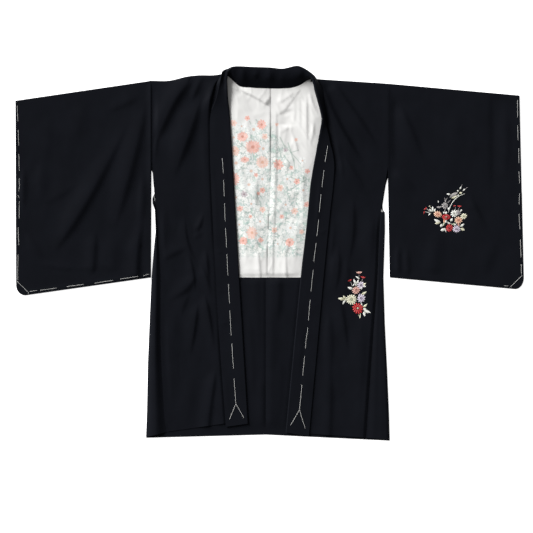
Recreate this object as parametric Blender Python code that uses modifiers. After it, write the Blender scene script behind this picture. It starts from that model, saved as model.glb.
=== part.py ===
"""A woman's haori jacket, laid flat on its back with its front side up.

The garment is cut from straight strips of silk crepe. Each half of the body is one strip: its hem is
turned up inside, its back lies on the surface, and it folds over the shoulder into the front. Two
sleeves are flat tubes, two narrow gussets widen the sides, a folded collar runs down both fronts, and a
light lining covers the inside of the back. Right and left are the wearer's: the right side is at -X.
X runs across the garment, Y up towards the neck, Z up from the surface. Sizes are in millimetres.
"""

import math
from collections import namedtuple

import bpy
import numpy as np
from mathutils import Vector

MM = 0.001

WALL = 1.2            # thickness of every cloth wall
GAP = 0.3             # air left between two pieces that meet
LAYER = WALL + GAP    # height that one layer of cloth takes

BACK_Z = WALL / 2             # middle of the outer back, which lies on the surface
INSIDE_Z = BACK_Z + LAYER     # middle of the lining and of the turned-up hem
FRONT_Z = INSIDE_Z + LAYER    # middle of the fronts, gussets and upper sleeve layers
RIM_Z = (BACK_Z + FRONT_Z) / 2

LINING_END_Y = -60.0    # the lining stops here, and the turned-up hem starts
FOLD_ROUND = 1.6        # how far each half of the collar stands off its fold line
FOLD_START = 2.6        # the fold's rounding starts this far from it
FOLD_TIP = 0.3          # and takes this much off its tip
HEM_PRESS = 8.0         # the turned-up hem is pressed flat this far from its fold
INSET = 5.0             # lining and turned-up hem stop this far inside the side edge
SEAM_EASE = 34.0        # folds run out over this distance from a seam
SIDE_PLAIN = 4.0        # no fold rises this near the side edge
COLLAR_PLAIN = 8.0      # nor this near the collar
SHOULDER_INSET = 5.0    # the lining stops this far below the shoulder fold
LINING_LAST_Y = 380.0   # above this line the lining's rows follow the neck
LINING_COLUMNS = 6      # strips of faces across half a lining
GUSSET_ROW = 8.0        # the gusset's second row lies at least this far below its tip
NECK_EASE = 1.4         # more room beside the collar where it turns over the shoulder

BLACK_CREPE = (0.0085, 0.0095, 0.0135, 1.0)
WHITE_SILK = (0.80, 0.80, 0.78, 1.0)

# One row for each section across a half garment, from the middle of the back neck round to the front
# hem. side is the body's side edge, seam the collar's seam, fold the collar's fold, edge its free edge.
# out and up push the middle of the collar's outer half away from a straight line.
Section = namedtuple(
    "Section",
    "side_x side_y seam_x seam_y seam_z fold_x fold_y fold_z edge_x edge_y edge_z out up",
)

RIGHT_SECTIONS = [
    Section(-296, 404, 0, 412, 1.4, 0, 462, 21, 0, 434, 0.6, 11, -10),
    Section(-296, 412, -46, 414, 1.4, -45, 463, 22, -46, 437, 0.6, 11, -10),
    Section(-296, 419, -75, 418, 1.4, -70, 464, 23, -77, 445, 0.6, 9, -9),
    Section(-296, 426, -91, 431, 1.6, -86, 464, 24, -92, 452, 1.5, 6, -6),
    Section(-296, 430, -103, 443, 2.2, -96, 460, 24, -106, 459, 6.0, 3, -1),
    Section(-296, 431.3, -112, 449, 3.4, -104, 451, 22, -118, 454, 11.0, 1, 0),
    Section(-296, 430, -120, 444, 5.2, -106, 436, 18, -129, 437, 14.0, 0, -3),
    Section(-296, 420, -131, 427, 5.8, -105.5, 410, 14, -141, 411, 13.0, 0, -4),
    Section(-296, 396, -139, 402, 5.0, -104, 385, 10, -147, 389, 10.0, 0, -2),
    Section(-296, 357, -146, 359, 4.0, -101, 358, 7.0, -150, 356, 6.5, 0, 0.4),
    Section(-296, 275, -146, 275, 3.6, -95.5, 275, 5.4, -149, 275, 5.9, 0, 0.8),
    Section(-285, 110, -140.5, 110, 3.6, -86, 110, 5.4, -143.5, 110, 5.9, 0, 0.8),
    Section(-272, -60, -131.5, -60, 3.6, -76, -60, 5.4, -134.5, -60, 5.9, 0, 0.8),
    Section(-269, -216, -122.4, -216, 3.6, -66.3, -216, 5.4, -125.4, -216, 5.9, 0, 0.8),
    Section(-253, -445, -107.2, -424, 3.6, -54.4, -416, 5.4, -110.2, -425, 5.9, 0, 0.8),
]
RIGHT_COLLAR_END = Section(0, 0, -106.6, -432, 3.6, -53.8, -424.5, 5.4, -109.6, -433, 5.9, 0, 0.8)

LEFT_SECTIONS = [
    Section(296, 402, 0, 412, 1.4, 0, 462, 21, 0, 434, 0.6, 11, -10),
    Section(296, 409, 30, 412, 1.4, 33, 459, 21, 32, 437, 0.6, 9, -9),
    Section(296, 414, 60, 415, 1.4, 66, 466, 22, 66, 443, 0.6, 9, -9),
    Section(296, 419, 80, 423, 1.6, 80, 461.5, 23, 88, 450, 1.5, 6, -6),
    Section(296, 422.5, 95, 433, 2.4, 98, 449, 23, 104, 450, 6.0, 2, -1),
    Section(296, 424, 104, 438.5, 3.4, 107, 441, 24, 115, 443, 10.5, 1, 0),
    Section(296, 422.5, 108, 431, 4.2, 114, 431, 24, 124, 432, 10.0, 0, 1),
    Section(296, 414, 112, 410, 4.2, 122, 410, 24, 133, 410, 8.5, 0, 1),
    Section(296, 389, 119, 384, 4.1, 127, 384, 24, 137, 384, 7.5, 0, 1),
    Section(296, 362, 126, 358, 4.1, 131, 359, 23, 139, 358, 7.5, 0, 1),
    Section(296, 338, 131, 335, 4.0, 132.5, 339, 20, 139, 334, 9.0, 0, 1),
    Section(296, 309, 138, 309, 4.0, 126.4, 309, 15, 144, 311, 10.0, 0, 1),
    Section(296, 279, 148, 279, 3.8, 121, 279, 11, 151, 279, 9.5, 0, 0.5),
    Section(296, 222, 157.5, 222, 3.6, 110.5, 222, 7.5, 161, 222, 7.5, 0, 0),
    Section(290, 184, 156.4, 184, 3.6, 104, 184, 6.0, 159.4, 184, 6.2, 0, 0.5),
    Section(277, 100, 147.3, 100, 3.6, 95.8, 100, 5.4, 150.3, 100, 5.9, 0, 0.8),
    Section(268, -60, 131.4, -60, 3.6, 77.9, -60, 5.4, 134.4, -60, 5.9, 0, 0.8),
    Section(256, -216, 117, -216, 3.6, 62.5, -216, 5.4, 120, -216, 5.9, 0, 0.8),
    Section(239, -460, 95.4, -450, 3.6, 41, -440, 5.4, 98.4, -450.5, 5.9, 0, 0.8),
]
LEFT_COLLAR_END = Section(0, 0, 94.6, -456.5, 3.6, 40.4, -447, 5.4, 97.6, -457, 5.9, 0, 0.8)
SHOULDER = 5       # the section on the shoulder fold, where the back turns over into the front
RIGHT_CUT = 3      # the section where a collar's neck stretch ends and its front stretch starts
LEFT_CUT = 6
CUT_GAP = 0.4      # air between the two stretches

# Side edge of the back from the hem up, and of the gusset above it.
SideRow = namedtuple("SideRow", "y x")
RIGHT_SIDE = [
    SideRow(-460, -308.9), SideRow(-396, -306.4), SideRow(-276, -304.1), SideRow(-156, -299.1),
    SideRow(-61, -294.9), SideRow(9, -289.1), SideRow(54, -284.6), SideRow(109, -286.6),
    SideRow(127, -292.5), SideRow(143, -293), SideRow(150, -287), SideRow(166, -284.6),
    SideRow(196, -289.5), SideRow(208, -296), SideRow(320, -296),
]
LEFT_SIDE = [
    SideRow(-467, 299.9), SideRow(-398, 298), SideRow(-291, 293.4), SideRow(-176, 287.6),
    SideRow(-60, 284.1), SideRow(59, 287.9), SideRow(104, 287.5), SideRow(113, 281),
    SideRow(144, 285.9), SideRow(176, 291), SideRow(188, 296), SideRow(300, 296),
]
HEM_MIDDLE_Y = -452.0
BACK_SEAM_X = -10.0       # the back's centre seam runs this far off the middle below the lining
LINING_SEAM_TOP_X = 3.5   # the lining's centre seam slants from here
LINING_SEAM_END_X = -5.5  # to here

# How far the shoulder's outline departs from a straight line, along X.
RIGHT_SHOULDER_WAVE = [(-296, 0), (-254, -4.2), (-200, 2), (-180, 2), (-136, -1.4), (-112, 0)]
LEFT_SHOULDER_WAVE = [(104, 0), (296, 0)]

# Soft folds: a ridge along start, middle and end, its half width and its height.
Fold = namedtuple("Fold", "x0 y0 x1 y1 x2 y2 half_width height")
RIGHT_FRONT_FOLDS = [
    Fold(-209, 440, -247, 374, -279, 290, 22, 7.0),
    Fold(-184, 410, -204, 309, -246, 180, 25, 6.0),
    Fold(-174, -105, -185, -170, -197, -240, 14, 4.0),
    Fold(-205, -74, -233, -88, -262, -100, 12, 3.5),
    Fold(-141, -270, -147, -350, -148, -440, 15, 5.0),
]
LEFT_FRONT_FOLDS = [
    Fold(156, 410, 207, 322, 264, 236, 20, 4.0),
    Fold(192, 424, 238, 354, 284, 290, 22, 4.5),
    Fold(158, 350, 178, 290, 232, 180, 17, 4.0),
    Fold(168, 0, 165, -60, 154, -150, 16, 3.5),
]
RIGHT_SLEEVE_FOLDS = [
    Fold(-390, 240, -461, 126, -532, 10, 28, 6.0),
    Fold(-306, 372, -338, 236, -392, 80, 27, 6.0),
    Fold(-331, 80, -340, 10, -345, -44, 18, 4.5),
]
LEFT_SLEEVE_FOLDS = [
    Fold(334, 366, 344, 262, 328, 156, 24, 4.5),
    Fold(601, 230, 596, 110, 586, -10, 22, 3.0),
]

SHOULDER_FOLDS_Y = 400.0    # a fold that starts above this line comes over the shoulder at full height

# Corners of a sleeve: its top and bottom at the armhole, and at the cuff.
Sleeve = namedtuple(
    "Sleeve", "inner top_y bottom_y foot cuff_top cuff_top_y cuff_low cuff_low_y cut_x cut_y"
)
RIGHT_SLEEVE = Sleeve(-296.3, 431.3, -59.5, -296.5, -635.4, 381.3, -633.1, -80.3, -609.6, -104)
LEFT_SLEEVE = Sleeve(296.3, 424, -59.5, 300, 624.4, 394.5, 635.4, -60.3, 613.4, -88.5)
CUFF_OPENING = 246.0    # the hand's opening, from the sleeve's top fold down
RIM = 2.0               # a folded edge rounds over within this width

# The gusset's height over its width, from the front's seam out to the side edge.
GussetRow = namedtuple("GussetRow", "across height")
RIGHT_GUSSET = [
    GussetRow(0, 3.6), GussetRow(0.2, 3.6), GussetRow(0.38, 3.7), GussetRow(0.52, 7.5),
    GussetRow(0.7, 8.0), GussetRow(0.88, 5.2), GussetRow(1, 2.1),
]
LEFT_GUSSET = [
    GussetRow(0, 3.6), GussetRow(0.25, 4.2), GussetRow(0.5, 4.9), GussetRow(0.75, 4.8),
    GussetRow(0.93, 4.0), GussetRow(1, 2.1),
]
RIGHT_GUSSET_Y = (126.0, -458.5)    # its tip, and its outer corner at the hem
LEFT_GUSSET_Y = (104.0, -465.5)

COLUMNS = 13         # strips of faces across half a body
ROW_STEP = 30.0      # longest face along it
SLEEVE_COLUMNS = 12
SLEEVE_ROWS = 15


def smooth(value):
    value = min(1.0, max(0.0, value))
    return value * value * (3 - 2 * value)


def read_across(table, at):
    """The second column of a table, read at a value of the first."""
    firsts, seconds = zip(*sorted((row[0], row[1]) for row in table))
    return float(np.interp(at, firsts, seconds))


def folds_height(folds, x, y):
    """Height of all folds at a place: each is a rounded ridge that dies away at its ends."""
    height = 0.0
    for fold in folds:
        line = [(fold.x0, fold.y0), (fold.x1, fold.y1), (fold.x2, fold.y2)]
        nearest, along = 1e9, 0.0
        for part, (a, b) in enumerate(zip(line, line[1:])):
            run = Vector(b) - Vector(a)
            share = min(1.0, max(0.0, (Vector((x, y)) - Vector(a)).dot(run) / run.length_squared))
            away = (Vector(a) + run * share - Vector((x, y))).length
            if away < nearest:
                nearest, along = away, (part + share) / 2
        start = 1.0 if fold.y0 > SHOULDER_FOLDS_Y else smooth(along / 0.2)
        end = smooth((1 - along) / 0.3)
        height += fold.height * start * end * math.exp(-1.6 * (nearest / fold.half_width) ** 2)
    return height


def sections_between(sections, step):
    """Smoothly spaced sections through the table's rows, and each one's place in the table."""
    table = np.array(sections, float)
    lengths = np.linalg.norm(np.diff(table[:, 2:5], axis=0), axis=1)
    run = np.concatenate([[0], np.cumsum(lengths)])
    slopes = np.gradient(table, run, axis=0)
    found = []
    for i, length in enumerate(lengths):
        count = max(1, round(length / step))
        for k in range(count):
            t = k / count
            blend = (
                (2 * t**3 - 3 * t**2 + 1) * table[i]
                + (t**3 - 2 * t**2 + t) * length * slopes[i]
                + (3 * t**2 - 2 * t**3) * table[i + 1]
                + (t**3 - t**2) * length * slopes[i + 1]
            )
            found.append((i + t, Section(*blend)))
    found.append((len(sections) - 1.0, Section(*table[-1])))
    return found


def seam_point(side, place, section):
    """Where the body's cloth ends beside the collar's seam, clear of the collar's wall.

    The cloth lies below the seam at the back neck, and towards the side edge along the front.
    """
    seam = Vector((section.seam_x, section.seam_y, section.seam_z))
    fold = Vector((section.fold_x, section.fold_y, section.fold_z))
    leg = fold - seam
    steep = abs(leg.z) / leg.length
    turn = math.pi / 2 * smooth(place / SHOULDER)
    away = Vector((side * math.sin(turn), -math.cos(turn), 0))
    at_neck = smooth(1 - abs(place - SHOULDER) / 1.5)
    return seam + away * (GAP + 1.5 * WALL * steep + NECK_EASE * at_neck)


def sheet(name, points, colour):
    """One piece of cloth from the rows of its middle surface, thickened by Solidify."""
    rows, columns = len(points), len(points[0])
    corners = [(x * MM, y * MM, z * MM) for row in points for x, y, z in row]
    faces = []
    for i in range(rows - 1):
        for k in range(columns - 1):
            a = i * columns + k
            faces.append((a, a + 1, a + 1 + columns, a + columns))
    return piece(name, corners, faces, colour)


def piece(name, corners, faces, colour):
    mesh = bpy.data.meshes.new(name)
    mesh.from_pydata(corners, [], faces)
    mesh.update()
    mesh.shade_smooth()
    thing = bpy.data.objects.new(name, mesh)
    garment.objects.link(thing)
    mesh.materials.append(cloth_material(name, colour))
    wall = thing.modifiers.new("wall", "SOLIDIFY")
    wall.thickness = WALL * MM
    wall.offset = 0
    wall.use_even_offset = True
    return thing


def cloth_material(name, colour):
    material = bpy.data.materials.new(name + "_cloth")
    material.use_nodes = True
    shader = material.node_tree.nodes["Principled BSDF"]
    shader.inputs["Base Color"].default_value = colour
    shader.inputs["Roughness"].default_value = 0.85
    shader.inputs["Metallic"].default_value = 0.0
    return material


def turned(rows, side):
    """Rows wound so that the cloth's outer face looks up on either side of the garment."""
    return [list(reversed(row)) for row in rows] if side < 0 else rows


def body_rows(side, sections, side_rows, wave, folds):
    """The strip's middle surface: turned-up hem, back, shoulder and front, row by row."""
    hem_y = side_rows[0].y

    def flat_row(y_side, y_middle, middle_x, z, inset):
        edge_x = read_across(side_rows, y_side) - side * inset
        return [
            (edge_x + (middle_x - edge_x) * u, y_side + (y_middle - y_side) * u, z)
            for u in np.linspace(0, 1, COLUMNS + 1)
        ]

    seam_x = BACK_SEAM_X + side * (GAP / 2)
    rows = []
    turn = LAYER / 2
    for share in (0, 0.35, 0.7, 1):
        y_side = LINING_END_Y - GAP + (hem_y + HEM_PRESS - LINING_END_Y) * share
        y_middle = LINING_END_Y - GAP + (HEM_MIDDLE_Y + HEM_PRESS - LINING_END_Y) * share
        rows.append(flat_row(y_side, y_middle, seam_x, INSIDE_Z, INSET))
    rows.append(flat_row(hem_y + turn, HEM_MIDDLE_Y + turn, seam_x, INSIDE_Z, 0))
    rows.append(flat_row(hem_y, HEM_MIDDLE_Y, seam_x, (INSIDE_Z + BACK_Z) / 2, 0))
    rows.append(flat_row(hem_y + turn, HEM_MIDDLE_Y + turn, seam_x, BACK_Z, 0))
    top_y = sections[0].seam_y
    for row in side_rows[1:]:
        share = (row.y - hem_y) / (sections[0].side_y - hem_y)
        y_middle = HEM_MIDDLE_Y + (top_y - HEM_MIDDLE_Y) * share
        middle_x = BACK_SEAM_X * smooth((300 - y_middle) / 350) + side * (GAP / 2)
        rows.append(flat_row(row.y, y_middle, middle_x, BACK_Z, 0))

    for place, section in sections_between(sections, ROW_STEP):
        inner = seam_point(side, place, section)
        if place == 0:
            inner.x = side * GAP / 2
        front = smooth(place - SHOULDER + 1)
        over = min(1.0, max(0.0, (place - SHOULDER + 1) / 2))
        side_z = BACK_Z + (FRONT_Z - BACK_Z) * over
        inner_z = BACK_Z + (section.seam_z - BACK_Z) * front
        reach = smooth(1 - abs(place - SHOULDER) / 3)
        row = []
        for u in np.linspace(0, 1, COLUMNS + 1):
            x = section.side_x + (inner.x - section.side_x) * u
            y = section.side_y + (inner.y - section.side_y) * u + read_across(wave, x) * reach
            z = side_z + (inner_z - side_z) * smooth(u)
            if place > SHOULDER:
                ease = smooth((abs(x - section.side_x) - SIDE_PLAIN) / SEAM_EASE)
                ease *= smooth((abs(x - inner.x) - COLLAR_PLAIN) / SEAM_EASE)
                z += folds_height(folds, x, y) * ease * smooth((place - SHOULDER) / 2)
            row.append((x, y, max(z, BACK_Z)))
        rows.append(row)
    return rows


def collar_rows(side, sections, end, cut):
    """The folded band's neck and front stretches.

    Each row runs from the seam to the fold, round it, and back along the outer half.
    """
    rows = []
    for place, row in sections_between(sections, ROW_STEP) + [(None, end)]:
        seam = Vector((row.seam_x, row.seam_y, row.seam_z))
        fold = Vector((row.fold_x, row.fold_y, row.fold_z))
        edge = Vector((row.edge_x, row.edge_y, row.edge_z))
        outward = Vector((fold.x - seam.x, fold.y - seam.y, 0)).normalized()
        middle = (fold + edge) / 2 + outward * row.out + Vector((0, 0, row.up))
        leg_in, leg_out = (seam - fold).normalized(), (middle - fold).normalized()
        across = (leg_out - leg_in).normalized()
        before = fold + leg_in * FOLD_START - across * FOLD_ROUND
        after = fold + leg_out * FOLD_START + across * FOLD_ROUND
        points = [seam + (before - seam) * share for share in (0, 0.33, 0.67, 1)]
        points.append(fold - (leg_in + leg_out) * FOLD_TIP)
        steer = 2 * middle - (after + edge) / 2
        for t in (0, 0.25, 0.5, 0.75, 1):
            points.append(after * (1 - t) ** 2 + steer * (2 * t * (1 - t)) + edge * t**2)
        at_middle = side * GAP / 2 if place == 0 else 0
        rows.append([(at_middle or p.x, p.y, max(p.z, BACK_Z)) for p in points])
        if place == cut:
            last = len(rows) - 1
    front = [stepped(rows[last], rows[last + 1])] + rows[last + 1 :]
    return rows[: last + 1], front


def stepped(row, following):
    """The row moved towards the one that follows it, by the gap at the collar's cut."""
    pairs = [(Vector(a), Vector(b)) for a, b in zip(row, following)]
    return [tuple(a + (b - a).normalized() * CUT_GAP) for a, b in pairs]


def lining_rows(side, sections, side_rows):
    """The white inside of the back, from the turned-up hem to the neck and shoulder."""
    rows = []
    low_y, top_y = LINING_END_Y + GAP, LINING_LAST_Y
    across = np.linspace(0, 1, LINING_COLUMNS + 1)
    for share in np.linspace(0, 1, 5):
        y = low_y + (top_y - low_y) * share
        middle_x = LINING_SEAM_END_X + (LINING_SEAM_TOP_X - LINING_SEAM_END_X) * smooth(share * 1.5)
        edge_x = read_across(side_rows, y) - side * INSET
        end_x = middle_x + side * GAP / 2
        rows.append([(edge_x + (end_x - edge_x) * u, y, INSIDE_Z) for u in across])
    for place, section in sections_between(sections[:SHOULDER], ROW_STEP):
        inner = seam_point(side, place, section)
        if place == 0:
            inner.x = LINING_SEAM_TOP_X + side * GAP / 2
        edge_x = section.side_x - side * INSET
        side_y, inner_y = section.side_y - SHOULDER_INSET, inner.y - GAP
        rows.append([
            (edge_x + (inner.x - edge_x) * u, side_y + (inner_y - side_y) * u, INSIDE_Z) for u in across
        ])
    return rows


def gusset_rows(side, sections, side_rows, shape, ends):
    """The wedge between front and back, from under the arm to the hem."""
    top_y, hem_y = ends
    front = [(section.side_y, section.side_x) for place, section in sections_between(sections, ROW_STEP)
             if place > SHOULDER + 1]
    front_hem_y = sections[-1].side_y
    rows = []
    for y_front in [top_y] + [y for y, _ in front if y < top_y - GUSSET_ROW]:
        share = (top_y - y_front) / (top_y - front_hem_y)
        y_side = top_y + (hem_y - top_y) * share
        front_x = read_across(front, y_front) + side * GAP
        side_x = read_across(side_rows, y_side)
        swell = 0.35 + 0.65 * smooth(share * 1.4)
        row = []
        for across, height in shape:
            z = height if height <= FRONT_Z else FRONT_Z + (height - FRONT_Z) * swell
            row.append((front_x + (side_x - front_x) * across, y_front + (y_side - y_front) * across, z))
        rows.append(row)
    rows[-1][-1] = (*rows[-1][-1][:2], FRONT_Z)
    return rows


def sleeve(name, side, shape, folds):
    """A flat tube: two layers joined along the top fold, the bottom seam and the lower cuff."""
    width, height = abs(shape.cuff_low - shape.foot), shape.top_y - shape.bottom_y
    u_cut = abs(shape.cut_x - shape.foot) / width
    slope = (shape.cut_y - shape.bottom_y) / (shape.cut_x - shape.foot)
    corner_y = shape.bottom_y + slope * (shape.cuff_low - shape.foot)
    v_cut = (shape.cuff_top_y - shape.cuff_low_y) / (shape.cuff_top_y - corner_y)
    across = [*np.linspace(0, u_cut, SLEEVE_COLUMNS), (u_cut + 1) / 2, 1 - RIM / width, 1]
    down = [0, RIM / height, *np.linspace(0, v_cut, SLEEVE_ROWS)[1:], 1 - RIM / height, 1]
    last, low = len(across) - 1, len(down) - 1

    def place(u, v):
        top = Vector((shape.inner, shape.top_y)).lerp(Vector((shape.cuff_top, shape.cuff_top_y)), u)
        foot = Vector((shape.foot, shape.bottom_y)).lerp(Vector((shape.cuff_low, corner_y)), u)
        return top.lerp(foot, v)

    corners, index = [], {}
    for i, u in enumerate(across):
        for k, v in enumerate(down):
            spot = place(u, v)
            reach = max(0.0, (u - u_cut) / (1 - u_cut)) * max(0.0, (v - v_cut) / (1 - v_cut))
            cut = place(u_cut, 1).lerp(place(1, v_cut), 0.5) - place(1, 1)
            spot = spot + cut * reach
            opened = i == last and 0 < k < low and (shape.cuff_top_y - spot.y) < CUFF_OPENING
            rim = (k in (0, low) or i == last) and not opened
            ease = smooth((abs(spot.x - shape.inner) - SIDE_PLAIN) / SEAM_EASE)
            ease *= smooth(min(v * height, (1 - v) * height, (1 - u) * width) / SEAM_EASE)
            upper_z = RIM_Z if rim else FRONT_Z + folds_height(folds, spot.x, spot.y) * ease
            index["upper", i, k] = len(corners)
            corners.append((spot.x * MM, spot.y * MM, upper_z * MM))
            if rim:
                index["under", i, k] = index["upper", i, k]
            else:
                index["under", i, k] = len(corners)
                corners.append((spot.x * MM, spot.y * MM, BACK_Z * MM))
    faces = []
    for i in range(last):
        for k in range(low):
            ring = [(i, k), (i + 1, k), (i + 1, k + 1), (i, k + 1)]
            upper = [index["upper", a, b] for a, b in ring]
            under = [index["under", a, b] for a, b in reversed(ring)]
            faces += [upper, under] if side < 0 else [upper[::-1], under[::-1]]
    return piece(name, corners, faces, BLACK_CREPE)


for old in list(bpy.data.objects):
    bpy.data.objects.remove(old, do_unlink=True)
garment = bpy.data.collections.new("haori_jacket")
bpy.context.scene.collection.children.link(garment)

HALVES = [
    ("right", -1, RIGHT_SECTIONS, RIGHT_COLLAR_END, RIGHT_CUT, RIGHT_SIDE, RIGHT_SHOULDER_WAVE,
     RIGHT_FRONT_FOLDS, RIGHT_SLEEVE, RIGHT_SLEEVE_FOLDS, RIGHT_GUSSET, RIGHT_GUSSET_Y),
    ("left", 1, LEFT_SECTIONS, LEFT_COLLAR_END, LEFT_CUT, LEFT_SIDE, LEFT_SHOULDER_WAVE,
     LEFT_FRONT_FOLDS, LEFT_SLEEVE, LEFT_SLEEVE_FOLDS, LEFT_GUSSET, LEFT_GUSSET_Y),
]
for label, side, sections, end, cut, edge, wave, front_folds, cuff, cuff_folds, wedge, wedge_y in HALVES:
    sheet("body_" + label, turned(body_rows(side, sections, edge, wave, front_folds), side), BLACK_CREPE)
    sheet("lining_" + label, turned(lining_rows(side, sections, edge), side), WHITE_SILK)
    sheet("gusset_" + label, turned(gusset_rows(side, sections, edge, wedge, wedge_y), side), BLACK_CREPE)
    neck, front = collar_rows(side, sections, end, cut)
    sheet("collar_neck_" + label, turned(neck, side), BLACK_CREPE)
    sheet("collar_front_" + label, turned(front, side), BLACK_CREPE)
    sleeve("sleeve_" + label, side, cuff, cuff_folds)
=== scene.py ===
"""A woman's black crepe haori, laid flat on its back: the cloth, lining, basting and embroidery.

Right and left are the wearer's: the right side is at -X. Sizes are in millimetres, turned into the
frame's metres by MM where a mesh or a pattern is made.
"""

import math
from collections import namedtuple

import bpy
import numpy as np
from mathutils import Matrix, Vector, noise
from mathutils.bvhtree import BVHTree


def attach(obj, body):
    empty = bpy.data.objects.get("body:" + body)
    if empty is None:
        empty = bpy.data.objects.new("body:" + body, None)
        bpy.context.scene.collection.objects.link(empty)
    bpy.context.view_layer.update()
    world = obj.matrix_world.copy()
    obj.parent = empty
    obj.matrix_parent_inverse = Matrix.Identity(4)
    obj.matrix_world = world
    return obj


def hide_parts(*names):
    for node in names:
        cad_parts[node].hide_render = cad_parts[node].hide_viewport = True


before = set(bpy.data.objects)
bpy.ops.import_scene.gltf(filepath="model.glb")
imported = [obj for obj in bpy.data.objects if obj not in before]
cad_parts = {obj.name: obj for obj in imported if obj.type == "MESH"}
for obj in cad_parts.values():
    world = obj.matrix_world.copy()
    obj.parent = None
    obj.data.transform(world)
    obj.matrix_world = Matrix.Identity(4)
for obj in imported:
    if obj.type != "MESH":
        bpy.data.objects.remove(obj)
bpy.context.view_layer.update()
MM = 0.001

# ---------------------------------------------------------------------------------------------
# Body strips. Each half of the body is one length of black silk crepe, 296 mm wide: its hem is
# turned up inside, it runs up the back, over the shoulder with no seam, and down the front to its
# hem. The halves are sewn together down the back, and pressed flat.
# ---------------------------------------------------------------------------------------------

CLOTH = 1.0                   # thickness of the crepe
BACK_Z = 0.6                  # middle of the outer back, which lies on the surface
INSIDE_Z = 2.1                # middle of the lining and of the turned-up hem
FRONT_Z = 3.6                 # middle of the fronts, gussets and upper sleeve layers
LINING_END_Y = -60.0          # the lining stops here, and the turned-up hem starts
END_EASE = 12.0               # the folds of both fade in over this distance from there
RIM_FACE = 3e-6               # a rim's faces are smaller than the cloth's by over this, in sq m
HEM_PRESS = 8.0               # the turned-up hem is pressed flat this far from its fold
INSET = 5.0                   # lining and turned-up hem stop this far inside the side edge
HEM_MIDDLE_Y = -452.0
BACK_SEAM_X = -10.0           # the back's centre seam runs this far off the middle below the lining
SLANT_TOP_Y, SLANT = 300.0, 350.0    # it leaves the middle here, and is there after this distance
FACING_LOFT = 1.4             # how far the turned-up hem stands off the back between its folds
SEAM_GROOVE = 3.5             # the right half dips into the centre seam over this width
FOLD_DIP = 4.5                # and the left half under the collar's fold over this one
SEAM_FLAT, SEAM_EASE = 3.0, 15.0         # flat this far from a seam, and eased over this distance
COLLAR_FLAT, COLLAR_EASE = 5.0, 20.0     # the same beside the collar
LONG_WAVE, SHORT_WAVE = (60.0, 1.0), (19.0, 0.22)      # size and height of the crepe's waves
ACROSS = np.linspace(0, 1, 65)       # places across a strip, from its side edge to the middle
FACING_ROWS, BACK_ROWS = 60, 78
BODY_STEP = 5.0               # longest face along the front
SHOULDER = 5                  # the section on the shoulder fold

# A section across half a garment, from the middle of the back neck round to the front hem: the
# body's side edge, the collar's seam, its fold and its free edge. out and up push the middle of
# the collar's outer half away from a straight line.
Section = namedtuple(
    "Section",
    "side_x side_y seam_x seam_y seam_z fold_x fold_y fold_z edge_x edge_y edge_z out up",
)
RIGHT_SECTIONS = [Section(*row) for row in [
    (-296, 404, 0, 412, 1.4, 0, 462, 21, 0, 434, 0.6, 11, -10),
    (-296, 412, -46, 414, 1.4, -45, 463, 22, -46, 437, 0.6, 11, -10),
    (-296, 419, -75, 418, 1.4, -70, 464, 23, -77, 445, 0.6, 9, -9),
    (-296, 426, -91, 431, 1.6, -86, 464, 24, -92, 452, 1.5, 6, -6),
    (-296, 430, -103, 443, 2.2, -96, 460, 24, -106, 459, 13.0, 3, -2),
    (-296, 431.3, -112, 449, 3.4, -104, 451, 22, -118, 454, 19.0, 1, -4),
    (-296, 430, -120, 444, 5.2, -106, 436, 18, -122, 437, 19.0, 0, -5),
    (-296, 420, -131, 427, 5.8, -105.5, 410, 15, -128, 411, 16.0, 0, -2),
    (-296, 396, -139, 402, 5.0, -104, 385, 11, -134, 388, 12.5, 0, -1),
    (-296, 357, -146, 359, 4.0, -101, 358, 7.0, -146, 356, 7.0, 0, 0.4),
    (-296, 275, -146, 275, 3.6, -95.5, 275, 5.4, -149, 275, 5.9, 0, 0.8),
    (-285, 110, -140.5, 110, 3.6, -86, 110, 5.4, -143.5, 110, 5.9, 0, 0.8),
    (-272, -60, -131.5, -60, 3.6, -76, -60, 5.4, -134.5, -60, 5.9, 0, 0.8),
    (-269, -216, -122.4, -216, 3.6, -66.3, -216, 5.4, -125.4, -216, 5.9, 0, 0.8),
    (-253, -445, -107.2, -424, 3.6, -54.4, -416, 5.4, -110.2, -425, 5.9, 0, 0.8),
]]
RIGHT_COLLAR_END = Section(0, 0, -106.6, -432, 3.6, -53.8, -424.5, 5.4, -109.6, -433, 5.9, 0, 0.8)
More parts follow.
